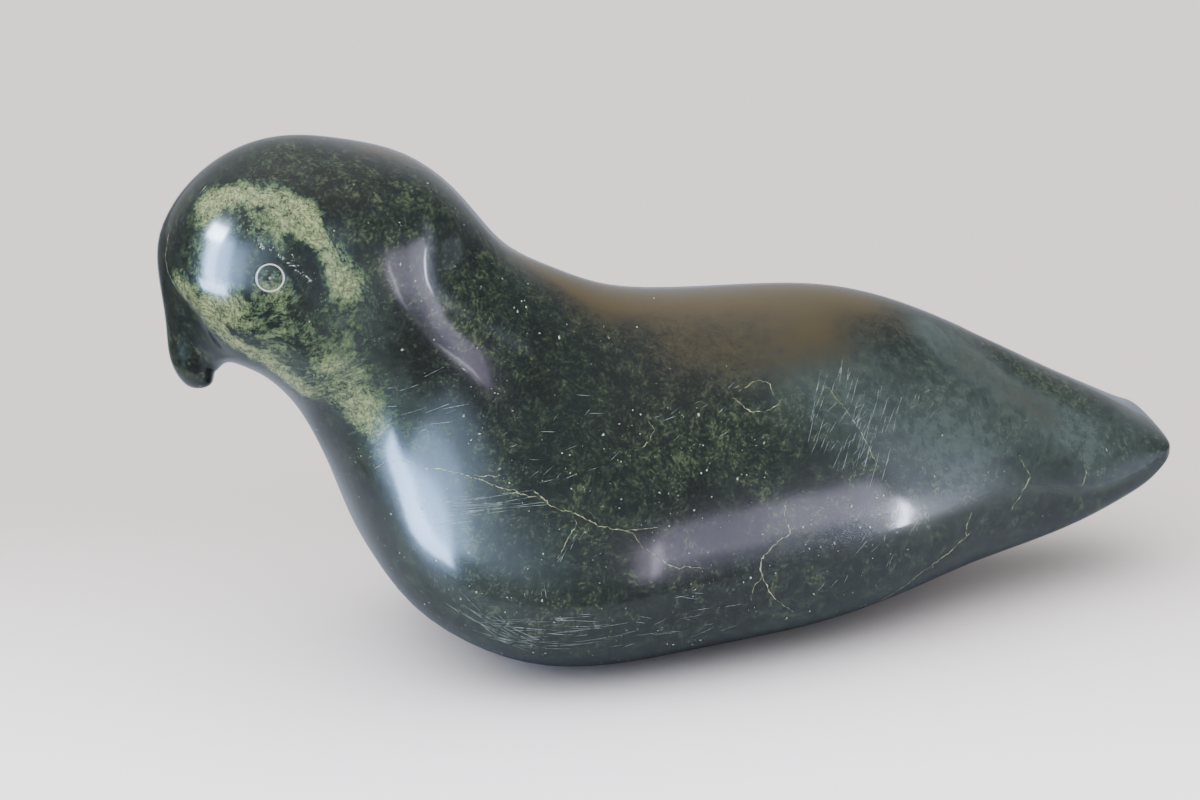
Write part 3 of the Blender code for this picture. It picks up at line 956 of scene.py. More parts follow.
VEIN_MINERAL = MineralFinish("cream_vein", "3a412c", "aeb088", 1.1, 0.35)
POWDER = MineralFinish("crushed_stone_in_scratches", "3c4847", "9caaae", 2.2, 0.5)
FLECK_MINERAL = MineralFinish("pale_mineral_flecks", "4c5a47", "bcc3b6", 1.5, 0.3)


# --------------------------------------------------------------- work let into the surface
class SurfaceTool:
    """A Geometry Nodes tree that lets something into the stone's surface."""

    NAME = "surface_tool"
    INPUTS: tuple[tuple[str, str], ...] = ()
    BEAD_TAPER = 0.35  # how blunt a bead's ends are, from 0 square to 1 a sine's arch
    BEAD_SIDES = 6

    def __init__(self) -> None:
        """Make the empty tree with its named inputs, then fill it."""
        self.tree = bpy.data.node_groups.new(self.NAME, "GeometryNodeTree")
        self.add = partial(add_node, self.tree)
        face = self.tree.interface
        face.new_socket("Geometry", in_out="INPUT", socket_type="NodeSocketGeometry")
        for name, kind in self.INPUTS:
            face.new_socket(name, in_out="INPUT", socket_type=f"NodeSocket{kind}")
        face.new_socket("Geometry", in_out="OUTPUT", socket_type="NodeSocketGeometry")
        self.given = self.add("NodeGroupInput").outputs
        self.fill()

    def fill(self) -> None:
        """Fill the tree."""

    def finish(self, made: Any) -> None:
        """End the tree: realize what was made, give it its material and add it to what came in."""
        real = self.add("GeometryNodeRealizeInstances", {0: made})
        dressed = self.add("GeometryNodeSetMaterial", {"Geometry": real, "Material": self.given["Material"]})
        both = self.add("GeometryNodeJoinGeometry")
        feed(both, {0: self.given["Geometry"]})
        feed(both, {0: dressed})
        self.add("NodeGroupOutput", {0: both})

    def strayed(self, geometry: Any, noise_node: bpy.types.Node, reach: Any) -> Any:
        """Move a geometry's points by a noise.

        Args:
            geometry: What is moved.
            noise_node: The noise, whose colour gives the direction.
            reach: Twice the most that a point moves along an axis, in metres.

        Returns:
            The node that gives the moved geometry.
        """
        colour = noise_node.outputs["Color"]
        about_nought = self.add("ShaderNodeVectorMath", {0: colour, 1: MID_NOISE}, operation="SUBTRACT")
        shift = self.add("ShaderNodeVectorMath", {0: about_nought, "Scale": reach}, operation="SCALE")
        return self.add("GeometryNodeSetPosition", {"Geometry": geometry, "Offset": shift})

    def bead(self, curves: Any, radius: Any, sink: float) -> Any:
        """Lay curves on the stone and sweep them into beads sunk in it.

        Args:
            curves: The curves, near the surface.
            radius: Each bead's radius at its middle, in metres.
            sink: How deep the bead's middle lies, as a share of its radius.

        Returns:
            The node that gives the swept mesh.
        """
        add = self.add
        stone = add("GeometryNodeObjectInfo", {"Object": self.given["Stone"]},
                    transform_space="ORIGINAL").outputs["Geometry"]
        nearest = add("GeometryNodeProximity", {0: stone}, target_element="FACES").outputs["Position"]
        laid = add("GeometryNodeSetPosition", {"Geometry": curves, "Position": nearest})
        outward = add("GeometryNodeSampleNearestSurface", {"Mesh": stone}, data_type="FLOAT_VECTOR")
        feed(outward, {"Value": add("GeometryNodeInputNormal")})
        spline = add("GeometryNodeSplineParameter").outputs["Factor"]
        turn = add("ShaderNodeMath", {0: spline, 1: math.pi}, operation="MULTIPLY")
        arch = add("ShaderNodeMath", {0: turn}, operation="SINE")
        taper = add("ShaderNodeMath", {0: arch, 1: self.BEAD_TAPER}, operation="POWER")
        size = add("ShaderNodeMath", {0: taper, 1: radius}, operation="MULTIPLY")
        down = add("ShaderNodeMath", {0: size, 1: -sink}, operation="MULTIPLY")
        offset = add("ShaderNodeVectorMath", {0: outward, "Scale": down}, operation="SCALE")
        sunk = add("GeometryNodeSetPosition", {"Geometry": laid, "Offset": offset})
        sized = add("GeometryNodeSetCurveRadius", {"Curve": sunk, "Radius": size})
        return add("GeometryNodeCurveToMesh", {
            "Curve": sized,
            "Profile Curve": add("GeometryNodeCurvePrimitiveCircle", {
                "Resolution": self.BEAD_SIDES, "Radius": 1.0}),
            "Scale": add("GeometryNodeInputRadius"),
            "Fill Caps": True})

    def give(self, carrier: bpy.types.Object, values: dict[str, Any]) -> None:
        """Put the tool on a carrier as a modifier, with its inputs set by their identifiers."""
        modifier = carrier.modifiers.new(self.NAME, "NODES")
        modifier.node_group = self.tree
        for item in self.tree.interface.items_tree:
            if item.item_type == "SOCKET" and item.in_out == "INPUT" and item.name in values:
                modifier[item.identifier] = values[item.name]


def new_carrier(name: str) -> bpy.types.Object:
    """Return an object with an empty mesh, to carry a tool's modifiers."""
    return link(bpy.data.objects.new(name, bpy.data.meshes.new(name)))


def plain_piece(carrier: bpy.types.Object) -> bpy.types.Object:
    """Turn a carrier into a plain mesh piece.

    Args:
        carrier: The object with the tool's modifiers.

    Returns:
        The same object, with its mesh made and its modifiers gone.
    """
    graph = bpy.context.evaluated_depsgraph_get()
    mesh = bpy.data.meshes.new_from_object(carrier.evaluated_get(graph))
    carrier.modifiers.clear()
    carrier.data = mesh
    mesh.shade_smooth()
    LOG.info("%s: %d faces", carrier.name, len(mesh.polygons))
    return carrier


@dataclass(frozen=True)
class Vein:
    """A thread of pale mineral that comes to the surface."""

    name: str
    line: tuple[Place, ...]
    width: float = 0.45
    side: Side = Side.LEFT


VEINS = (
    Vein("breast", ((-99.0, 25.0, 66.0), (-97.0, 27.0, 69.0), (-91.5, 30.5, 70.0), (-87.0, 33.0, 68.0),
                    (-82.0, 36.0, 68.0), (-76.0, 38.5, 66.0), (-68.0, 42.0, 63.0), (-62.0, 43.0, 61.0),
                    (-58.0, 45.0, 60.0)), 0.34),
    Vein("breast, branch", ((-76.0, 38.5, 66.5), (-72.5, 40.0, 66.5), (-69.0, 41.0, 66.5)), 0.2),
    Vein("breast, lower", ((-58.0, 45.0, 59.0), (-51.0, 46.5, 56.0), (-44.0, 48.5, 52.0),
                           (-35.0, 50.0, 49.5), (-33.5, 51.0, 46.0), (-29.0, 52.0, 42.5),
                           (-25.0, 52.5, 39.5), (-16.0, 53.0, 38.0)), 0.3),
    Vein("breast, fork", ((-51.5, 46.5, 56.5), (-50.0, 47.0, 53.0), (-52.5, 48.0, 50.0),
                          (-56.0, 49.0, 44.5)), 0.22),
    Vein("breast, spur", ((-38.0, 49.5, 50.0), (-32.0, 50.0, 50.5), (-28.0, 50.0, 50.5)), 0.18),
    Vein("breast, white", ((-60.5, 43.5, 62.0), (-58.5, 44.5, 60.5), (-57.0, 45.0, 58.5)), 0.5),
    Vein("belly", ((9.5, 48.0, 53.0), (8.5, 49.0, 48.5), (10.0, 50.0, 43.5), (6.0, 51.0, 42.0),
                   (0.5, 52.0, 38.0), (1.0, 52.0, 33.0), (3.0, 52.0, 28.0), (7.0, 51.0, 24.0),
                   (12.0, 49.0, 19.0)), 0.36),
    Vein("belly, branch", ((1.0, 52.0, 33.0), (-1.5, 52.0, 30.0), (-2.0, 52.0, 26.0)), 0.25),
    Vein("tail", ((88.0, 30.0, 49.0), (92.0, 31.0, 43.0), (88.0, 33.0, 39.0), (84.0, 35.0, 35.0)), 0.36),
    Vein("tail, front", ((70.0, 39.0, 38.0), (68.0, 39.0, 34.0), (68.0, 39.0, 30.0)), 0.3),
    Vein("tail, lower", ((71.0, 39.0, 32.5), (63.0, 40.0, 27.0), (53.0, 41.0, 22.0),
                         (42.0, 38.0, 14.0)), 0.3),
    Vein("tail, end", ((113.0, 24.0, 42.0), (113.5, 25.0, 39.0), (111.0, 27.0, 36.0)), 0.26),
    Vein("loop", ((-2.0, 36.0, 79.5), (-0.5, 37.0, 77.5), (2.0, 38.0, 75.5), (7.0, 38.0, 75.0),
                  (10.5, 37.0, 76.0), (12.0, 36.0, 77.5)), 0.28),
    Vein("loop, top", ((10.0, 35.5, 78.5), (9.5, 34.0, 81.0), (7.0, 33.0, 82.5), (3.5, 34.0, 82.0),
                       (0.0, 35.0, 80.5)), 0.2),
    Vein("middle", ((-27.0, 38.0, 76.5), (-26.0, 40.0, 74.0), (-28.0, 41.0, 71.5),
                    (-30.0, 42.0, 70.0)), 0.24),
    Vein("wing", ((25.0, 32.0, 80.0), (29.0, 35.0, 75.0), (34.0, 38.0, 68.0), (37.0, 40.0, 61.0),
                  (39.0, 42.0, 55.0)), 0.16),
    Vein("forehead", ((-147.5, 4.5, 131.0), (-148.5, 6.0, 126.0), (-148.5, 7.5, 121.0),
                      (-146.0, 11.0, 115.5)), 0.2),
    Vein("far breast", ((-97.0, 27.0, 73.0), (-83.0, 36.5, 63.5), (-68.5, 43.0, 59.0), (-51.0, 48.0, 51.5)),
         0.34, Side.RIGHT),
    Vein("far flank", ((6.5, 49.0, 50.0), (16.0, 50.0, 42.0), (20.5, 50.5, 32.0)), 0.34, Side.RIGHT),
)


class VeinTool(SurfaceTool):
    """Lets veins into the stone along given paths that wander as cracks do."""

    NAME = "vein_tool"
    INPUTS = (("Stone", "Object"), ("Paths", "Object"), ("Step", "Float"), ("Wander", "Float"),
              ("Wander Size", "Float"), ("Seed", "Float"), ("Material", "Material"))
    SINK = 0.6

    def fill(self) -> None:
        """Resample the paths, let them wander, swell and thin, and bead them into the stone."""
        add, given = self.add, self.given
        paths = add("GeometryNodeObjectInfo", {"Object": given["Paths"]},
                    transform_space="ORIGINAL").outputs["Geometry"]
        curves = add("GeometryNodeResampleCurve", {"Curve": paths, "Length": given["Step"]}, mode="LENGTH")
        place = add("GeometryNodeInputPosition")
        crackle = add("ShaderNodeTexNoise", {
            "Vector": place, "W": given["Seed"], "Scale": given["Wander Size"], "Detail": 4.0,
            "Roughness": 0.72}, noise_dimensions="4D")
        wandering = self.strayed(curves, crackle, given["Wander"])
        # Each vein swells and thins over 1.4 mm.
        thinning = add("ShaderNodeTexNoise", {
            "Vector": place, "W": given["Seed"], "Scale": per_metre(1.4), "Detail": 2.0},
            noise_dimensions="4D")
        share = add("ShaderNodeMapRange", {0: thinning, 1: 0.36, 2: 0.64, 3: 0.15, 4: 1.7})
        width = add("GeometryNodeInputRadius")
        radius = add("ShaderNodeMath", {0: width, 1: share}, operation="MULTIPLY")
        self.finish(self.bead(wandering, radius, self.SINK))


@dataclass(frozen=True)
class MarkPatch:
    """A patch of scratches that run much the same way."""

    name: str
    centre: Place
    heading: float  # degrees in the bird's side view, from the tail upwards
    count: int
    length: tuple[float, float]
    spread: tuple[float, float]
    stray: float = 0.12  # radians
    width: float = 0.1
    side: Side = Side.LEFT


MARK_PATCHES = (
    MarkPatch("lower breast, level", (-58.0, 49.0, 23.0), 2.0, 40, (4.0, 16.0), (34.0, 13.0), 0.12, 0.08),
    MarkPatch("lower breast, slanting", (-72.5, 44.5, 25.5), -32.0, 16, (5.0, 17.0), (20.0, 8.0),
              0.20, 0.08),
    MarkPatch("lower breast, ticks", (-63.0, 49.0, 31.5), 88.0, 7, (2.0, 5.0), (16.0, 8.0), 0.25, 0.08),
    MarkPatch("breast, level", (-75.0, 42.0, 57.5), 1.0, 26, (5.0, 20.0), (22.0, 9.0), 0.06, 0.08),
    MarkPatch("wing, steep", (33.5, 37.5, 69.0), 58.0, 60, (3.0, 11.0), (26.0, 28.0), 0.14, 0.09),
    MarkPatch("wing, crossing", (31.0, 38.5, 66.0), 35.0, 16, (3.0, 8.0), (18.0, 18.0), 0.25, 0.08),
    MarkPatch("wing, back", (57.5, 31.0, 67.0), 40.0, 14, (1.5, 4.0), (12.0, 10.0), 0.5, 0.12),
    MarkPatch("throat", (-90.5, 30.0, 85.5), 12.0, 14, (3.0, 9.0), (24.0, 16.0), 0.30, 0.09),
    MarkPatch("shoulder ticks", (-66.0, 24.5, 109.5), 55.0, 36, (1.0, 3.0), (26.0, 22.0), 0.60),
    MarkPatch("middle ticks", (-55.0, 48.5, 47.0), 58.0, 8, (2.0, 5.0), (14.0, 16.0), 0.30, 0.08),
    MarkPatch("belly", (-23.0, 52.5, 23.0), 5.0, 26, (2.0, 8.0), (34.0, 16.0), 0.45, 0.08),
    MarkPatch("middle", (-53.0, 39.5, 72.5), 20.0, 24, (1.5, 6.0), (30.0, 20.0), 0.5),
    MarkPatch("middle, behind", (-12.0, 38.0, 76.0), 25.0, 20, (1.5, 6.0), (34.0, 16.0), 0.3, 0.08),
    MarkPatch("belly, right", (35.5, 48.0, 32.0), 50.0, 18, (1.5, 5.0), (36.0, 18.0), 0.45, 0.09),
    MarkPatch("crown", (-141.0, 9.0, 144.0), 60.0, 3, (3.0, 6.0), (4.0, 4.0), 0.15),
    MarkPatch("far breast", (-61.0, 49.0, 25.5), 8.0, 28, (5.0, 18.0), (34.0, 14.0), 0.15, 0.1, Side.RIGHT),
    MarkPatch("far wing", (32.0, 39.0, 67.0), 50.0, 30, (4.0, 12.0), (28.0, 24.0), 0.15, 0.1, Side.RIGHT),
    MarkPatch("far shoulder", (-63.5, 31.0, 95.5), 30.0, 20, (2.0, 6.0), (28.0, 24.0), 0.4, 0.1, Side.RIGHT),
)


class ScratchTool(SurfaceTool):
    """Scatters a patch of straight scratches on a flat patch and lays them on the stone."""

    NAME = "scratch_tool"
    INPUTS = (("Stone", "Object"), ("Centre", "Vector"), ("Direction", "Vector"), ("Across", "Vector"),
              ("Count", "Int"), ("Shortest", "Float"), ("Longest", "Float"), ("Spread Along", "Float"),
              ("Spread Across", "Float"), ("Stray", "Float"), ("Radius", "Float"), ("Step", "Float"),
              ("Seed", "Int"), ("Material", "Material"))
    DRAWS = (("along", -0.5, 0.5), ("across", -0.5, 0.5), ("stray", -1.0, 1.0), ("length", 0.0, 1.0))
    SEED_STEP = 11.0
    SINK = 0.55

    def fill(self) -> None:
        """Scatter the scratches' middles, turn a line at each, and bead them into the stone."""
        add, given = self.add, self.given
        index = add("GeometryNodeInputIndex")
        draws = {}
        for number, (name, low, high) in enumerate(self.DRAWS, 1):
            seed = add("ShaderNodeMath", {0: given["Seed"], 1: self.SEED_STEP * number}, operation="ADD")
            draws[name] = add("FunctionNodeRandomValue", {
                2: low, 3: high, "ID": index, "Seed": seed}, data_type="FLOAT").outputs[1]
        place = given["Centre"]
        for name, axis, spread in (
                ("along", "Direction", "Spread Along"), ("across", "Across", "Spread Across")):
            reach = add("ShaderNodeMath", {0: draws[name], 1: given[spread]}, operation="MULTIPLY")
            step = add("ShaderNodeVectorMath", {0: given[axis], "Scale": reach}, operation="SCALE")
            place = add("ShaderNodeVectorMath", {0: place, 1: step}, operation="ADD")
        points = add("GeometryNodePoints", {"Count": given["Count"], "Position": place})
        sideways = add("ShaderNodeMath", {0: draws["stray"], 1: given["Stray"]}, operation="MULTIPLY")
        lean = add("ShaderNodeVectorMath", {0: given["Across"], "Scale": sideways}, operation="SCALE")
        heading = add("ShaderNodeVectorMath", {0: given["Direction"], 1: lean}, operation="ADD")
        rotation = add("FunctionNodeAlignRotationToVector", {"Vector": heading}, axis="X")
        line = add("GeometryNodeCurvePrimitiveLine", {
            "Start": (-0.5, 0.0, 0.0), "End": (0.5, 0.0, 0.0)}, mode="POINTS")
        length = add("ShaderNodeMapRange", {
            0: draws["length"], 3: given["Shortest"], 4: given["Longest"]})
        scale = add("ShaderNodeCombineXYZ", {0: length, 1: 1.0, 2: 1.0})
        lines = add("GeometryNodeInstanceOnPoints", {
            "Points": points, "Instance": line, "Rotation": rotation, "Scale": scale})
        real = add("GeometryNodeRealizeInstances", {0: lines})
        curves = add("GeometryNodeResampleCurve", {"Curve": real, "Length": given["Step"]}, mode="LENGTH")
        self.finish(self.bead(curves, given["Radius"], self.SINK))


class FleckTool(SurfaceTool):
    """Scatters flat mineral flecks over the stone, thick where the stone is flecked."""

    NAME = "fleck_tool"
    INPUTS = (("Stone", "Object"), ("Density", "Float"), ("Zone Density", "Float"), ("Zone", "String"),
              ("Cluster Size", "Float"), ("Smallest", "Float"), ("Largest", "Float"),
              ("Thickness", "Float"), ("Seed", "Int"), ("Material", "Material"))
    RAGGED = 0.5  # mm, how far the grains' outlines stray
    STRETCH_SEED = 5
    TURN_SEED = 9

    def fill(self) -> None:
        """Scatter points in clusters by zone, and set a flattened grain on each, most of them small."""
        add, given = self.add, self.given
        stone = add("GeometryNodeObjectInfo", {"Object": given["Stone"]},
                    transform_space="ORIGINAL").outputs["Geometry"]
        zone = add("GeometryNodeInputNamedAttribute", {"Name": given["Zone"]}, data_type="FLOAT")
        density = add("ShaderNodeMath", {
            0: zone, 1: given["Zone Density"], 2: given["Density"]}, operation="MULTIPLY_ADD")
        place = add("GeometryNodeInputPosition")
        clusters = add("ShaderNodeTexNoise", {
            "Vector": place, "Scale": given["Cluster Size"], "Detail": 3.0, "Roughness": 0.65})
        # Hardly any lie between the clusters, and up to seven times as many in them.
        crowd = add("ShaderNodeMapRange", {0: clusters, 1: 0.54, 2: 0.72, 3: 0.04, 4: 7.0})
        density = add("ShaderNodeMath", {0: density, 1: crowd}, operation="MULTIPLY")
        scatter = add("GeometryNodeDistributePointsOnFaces", {
            "Mesh": stone, "Density": density, "Seed": given["Seed"]}, distribute_method="RANDOM")
        grain = add("GeometryNodeMeshIcoSphere", {"Radius": 1.0, "Subdivisions": 1})
        # The fifth power of an even draw leaves only a few grains large.
        draw = add("FunctionNodeRandomValue", {2: 0.0, 3: 1.0, "Seed": given["Seed"]}, data_type="FLOAT")
        rare = add("ShaderNodeMath", {0: draw.outputs[1], 1: 5.0}, operation="POWER")
        size = add("ShaderNodeMapRange", {0: rare, 3: given["Smallest"], 4: given["Largest"]})
        stretch = add("FunctionNodeRandomValue", {
            2: 0.4, 3: 2.4, "Seed": self.STRETCH_SEED}, data_type="FLOAT").outputs[1]
        wide = add("ShaderNodeMath", {0: size, 1: stretch}, operation="MULTIPLY")
        scale = add("ShaderNodeCombineXYZ", {0: wide, 1: size, 2: given["Thickness"]})
        turn = add("FunctionNodeRandomValue", {
            2: 0.0, 3: math.tau, "Seed": self.TURN_SEED}, data_type="FLOAT").outputs[1]
        rotation = add("FunctionNodeRotateRotation", {
            "Rotation": scatter.outputs["Rotation"], "Rotate By": add("ShaderNodeCombineXYZ", {2: turn})},
            rotation_space="LOCAL")
        flecks = add("GeometryNodeInstanceOnPoints", {
            "Points": scatter, "Instance": grain, "Rotation": rotation, "Scale": scale})
        # Each grain's outline is broken by a noise of a third of a millimetre.
        real = add("GeometryNodeRealizeInstances", {0: flecks})
        rough = add("ShaderNodeTexNoise", {"Vector": place, "Scale": per_metre(0.35), "Detail": 1.0})
        self.finish(self.strayed(real, rough, self.RAGGED * MM))


@dataclass(frozen=True)
class FleckPatch:
    """How thickly flecks are scattered, over the whole stone and in one of its zones."""

    zone: str
    density: float  # a square metre, everywhere
    zone_density: float  # a square metre more in the zone
    cluster: float  # mm across a cluster
    largest: float  # mm, the largest grain's radius
    seed: int


class StoneMarkings:
    """The veins, scratches and flecks of the stone, each a piece let into its surface."""

    VEIN_STEP = 0.28  # mm between rings along a vein
    VEIN_RADIUS = 0.36  # of a vein's stated width, before it swells and thins
    VEIN_WANDER = 3.0  # mm, twice how far a vein leaves its path
    VEIN_WANDER_SIZE = 1.9  # mm between its turns
    VEIN_SEED = 3.0
    SCRATCH_STEP = 1.4
    SCRATCH_SEEDS = (7, 100)  # the first patch's, and the step to the next
    FLECK_SMALLEST = 0.06
    FLECK_THICKNESS = 0.035
    FLECKS = (
        FleckPatch("flecked", 9000.0, 150000.0, 4.0, 0.30, 21),
        FleckPatch("scarred", 0.0, 5200000.0, 1.2, 0.20, 22),
    )

    def __init__(self, bird: bpy.types.Object) -> None:
        """Keep the carved bird and a tree of its faces, for finding places on it.

        Args:
            bird: The finished stone.
        """
        self.bird = bird
        vertices = [vertex.co for vertex in bird.data.vertices]
        self.faces = BVHTree.FromPolygons(vertices, [tuple(face.vertices) for face in bird.data.polygons])

    def on_stone(self, place: Place, side: Side) -> tuple[Vector, Vector]:
        """Return the nearest point of the stone to a place, in metres, and its normal."""
        point = Vector((place[0], side.value * place[1], place[2])) * MM
        location, normal, _, _ = self.faces.find_nearest(point)
        return location, normal

    def veins(self) -> bpy.types.Object:
        """Let the cream veins in."""
        paths = bpy.data.curves.new("vein_paths", "CURVE")
        paths.dimensions = "3D"
        for vein in VEINS:
            spline = paths.splines.new("POLY")
            spline.points.add(len(vein.line) - 1)
            for point, place in zip(spline.points, vein.line):
                point.co = (*self.on_stone(place, vein.side)[0], 1.0)
                point.radius = vein.width * self.VEIN_RADIUS * MM
        holder = link(bpy.data.objects.new("vein_paths", paths))
        carrier = new_carrier("cream_veins")
        VeinTool().give(carrier, {
            "Stone": self.bird, "Paths": holder, "Step": self.VEIN_STEP * MM,
            "Wander": self.VEIN_WANDER * MM, "Wander Size": per_metre(self.VEIN_WANDER_SIZE),
            "Seed": self.VEIN_SEED, "Material": VEIN_MINERAL.material()})
        piece = plain_piece(carrier)
        bpy.data.objects.remove(holder)
        return piece

    def scratches(self) -> bpy.types.Object:
        """Lay the patches of scratches."""
        carrier = new_carrier("silvery_scratches")
        material = POWDER.material()
        tool = ScratchTool()
        seed, seed_step = self.SCRATCH_SEEDS
        for number, patch in enumerate(MARK_PATCHES):
            centre, normal = self.on_stone(patch.centre, patch.side)
            angle = math.radians(patch.heading)
            wanted = Vector((math.cos(angle), 0.0, math.sin(angle)))
            direction = (wanted - normal * wanted.dot(normal)).normalized()
            tool.give(carrier, {
                "Stone": self.bird, "Centre": centre, "Direction": direction,
                "Across": normal.cross(direction), "Count": patch.count,
                "Shortest": patch.length[0] * MM, "Longest": patch.length[1] * MM,
                "Spread Along": patch.spread[0] * MM, "Spread Across": patch.spread[1] * MM,
                "Stray": patch.stray, "Radius": patch.width / 2.0 * MM,
                "Step": self.SCRATCH_STEP * MM, "Seed": seed + seed_step * number,
                "Material": material})
        return plain_piece(carrier)

    def flecks(self) -> bpy.types.Object:
        """Scatter the pale flecks, few over all and many in the flecked zones."""
        carrier = new_carrier("pale_flecks")
        material = FLECK_MINERAL.material()
        tool = FleckTool()
        for patch in self.FLECKS:
            tool.give(carrier, {
                "Stone": self.bird, "Zone": patch.zone, "Density": patch.density,
                "Zone Density": patch.zone_density, "Cluster Size": per_metre(patch.cluster),
                "Smallest": self.FLECK_SMALLEST * MM, "Largest": patch.largest * MM,
                "Thickness": self.FLECK_THICKNESS * MM, "Seed": patch.seed, "Material": material})
        return plain_piece(carrier)


# -------------------------------------------------------------------------------- studio
@dataclass(frozen=True)
class Panel:
    """A soft bright panel of the room, by the directions that it fills as seen from the bird."""

    name: str
    azimuth: tuple[float, float]
    elevation: tuple[float, float]
    radiance: tuple[float, float, float]
    edges: tuple[float, float, float, float]  # degrees: left, right, foot, top


class Room:
    """The room round the bird: a soft dome of light, and what the polished stone mirrors.

    The stone mirrors dim walls, a darker shade below and bright panels. All else, the matt floor
    among it, takes the even light of the dome, which is brightest overhead, a little to the left.
    Straight on, the room shows a plain backdrop.
    """

    DOME = (1.05, 1.03, 1.04)
    TOP = (5.6, 5.5, 5.55)
    LEAN = (-0.25, -0.12, 0.96)
    BACKDROP = "c9c6c5"
    BELOW = (0.17, 0.18, 0.20)
    WALL = (0.18, 0.20, 0.23)
    CEILING = (-0.02, -0.01, -0.01)
    BACK_WALL = (0.18, 0.18, 0.18)
    BACK_WALL_ENDS = ((30.0, 30.0), (-230.0, 30.0))  # degrees of azimuth, and how softly
    CEILING_FROM = (45.0, 35.0)  # degrees of elevation, and how softly
    BELOW_TO = (-21.0, 9.0)
    OVERHEAD_FROM = (0.75, 0.25)  # the cosine from the lean, and how softly
    SEAM = 60.0  # degrees of azimuth where the angles start again, clear of the panels
    FULL_TURN = 360.0
    PANELS = (
        Panel("left window", (-166.0, -149.5), (-9.0, 34.0), (15.0, 21.0, 33.0), (7.0, 2.5, 3.0, 3.0)),
        Panel("left window, upper pane", (-176.0, -149.0), (27.5, 38.0), (44.0, 57.0, 72.0),
              (4.0, 3.0, 2.5, 2.5)),
        Panel("left window, lower pane", (-174.0, -137.0), (-17.0, -8.5), (15.0, 22.0, 34.0),
              (1.5, 4.0, 1.5, 3.0)),
        Panel("curtain", (-149.0, -133.0), (-10.0, 29.0), (7.5, 11.5, 19.0), (2.0, 5.0, 3.0, 6.0)),
        Panel("curtain's side", (-133.0, -117.0), (-8.0, 25.0), (2.9, 4.3, 6.3), (5.0, 5.0, 3.0, 8.0)),
        Panel("curtain's glow", (-117.0, -98.0), (-10.0, 28.0), (1.1, 1.5, 2.0), (5.0, 12.0, 8.0, 12.0)),
        Panel("door's edge", (-80.5, -77.5), (-11.0, 4.0), (2.2, 2.0, 2.6), (1.2, 1.2, 4.0, 3.0)),
        Panel("door's bright edge", (-77.8, -76.0), (-10.0, 4.0), (6.0, 5.5, 7.0), (0.6, 0.6, 4.0, 3.0)),
        Panel("door, left", (-77.0, -60.0), (-4.0, 8.5), (1.75, 1.6, 2.3), (1.0, 3.0, 2.5, 2.0)),
        Panel("door, right", (-60.0, -43.0), (-2.0, 8.5), (2.6, 2.55, 3.3), (3.0, 0.8, 2.0, 2.0)),
        Panel("door's foot", (-77.0, -43.0), (-11.0, -2.5), (0.75, 0.75, 1.1), (1.5, 0.8, 9.0, 3.0)),
        Panel("right window", (-42.7, -41.5), (-17.0, 1.0), (58.0, 61.0, 74.0), (0.5, 0.5, 4.0, 3.0)),
        Panel("right window's glow", (-41.0, -31.0), (-14.0, 20.0), (0.8, 0.9, 1.25), (1.0, 8.0, 8.0, 12.0)),
    )

    def __init__(self) -> None:
        """Make the world and work out each direction's azimuth and elevation in degrees."""
        world = bpy.data.worlds.new("soft_studio_room")
        world.use_nodes = True
        bpy.context.scene.world = world
        self.nodes = world.node_tree.nodes
        add = self.add = partial(add_node, world.node_tree)
        self.direction = add("ShaderNodeTexCoord").outputs["Generated"]
        x, y, z = add("ShaderNodeSeparateXYZ", {0: self.direction}).outputs
        turn = add("ShaderNodeMath", {0: y, 1: x}, operation="ARCTAN2")
        turn = add("ShaderNodeMath", {0: turn}, operation="DEGREES")
        past = add("ShaderNodeMath", {0: turn, 1: self.SEAM}, operation="GREATER_THAN")
        self.azimuth = weighed(add, ((past, -self.FULL_TURN),), turn)
        height = add("ShaderNodeMath", {0: z}, operation="ARCSINE")
        self.elevation = add("ShaderNodeMath", {0: height}, operation="DEGREES")

    def within(self, bounds: tuple[tuple[bpy.types.Node, float, float, float, float], ...]) -> Any:
        """Multiply soft rises and falls together, so that what is left lies within all of them.

        Args:
            bounds: For each: the value, where it rises or falls, how softly, and its share before
                and past that.

        Returns:
            The node that gives the product.
        """
        share = None
        for value, middle, soft, before, past in bounds:
            edge = self.add("ShaderNodeMapRange", {
                0: value, 1: middle - soft, 2: middle + soft, 3: before, 4: past},
                interpolation_type="SMOOTHSTEP")
            if share is None:
                share = edge
            else:
                share = self.add("ShaderNodeMath", {0: share, 1: edge}, operation="MULTIPLY")
        return share

    def lit(self, start: Any, lights: tuple[tuple[Any, tuple[float, float, float]], ...]) -> Any:
        """Add lights up, each where its share of the directions has it.

        Args:
            start: The light to add to.
            lights: Each light's share and its radiance.

        Returns:
            The node that gives the sum.
        """
        for share, radiance in lights:
            start = self.add("ShaderNodeVectorMath", {
                0: share, 1: radiance, 2: start}, operation="MULTIPLY_ADD")
        return start

    def panel_share(self, panel: Panel) -> Any:
        """Return the node that is 1 in a panel's directions and 0 outside them."""
        left, right, foot, top = panel.edges
        LOG.info("panel: %s", panel.name)
        return self.within((
            (self.azimuth, panel.azimuth[0], left, 0.0, 1.0),
            (self.azimuth, panel.azimuth[1], right, 1.0, 0.0),
            (self.elevation, panel.elevation[0], foot, 0.0, 1.0),
            (self.elevation, panel.elevation[1], top, 1.0, 0.0),
        ))

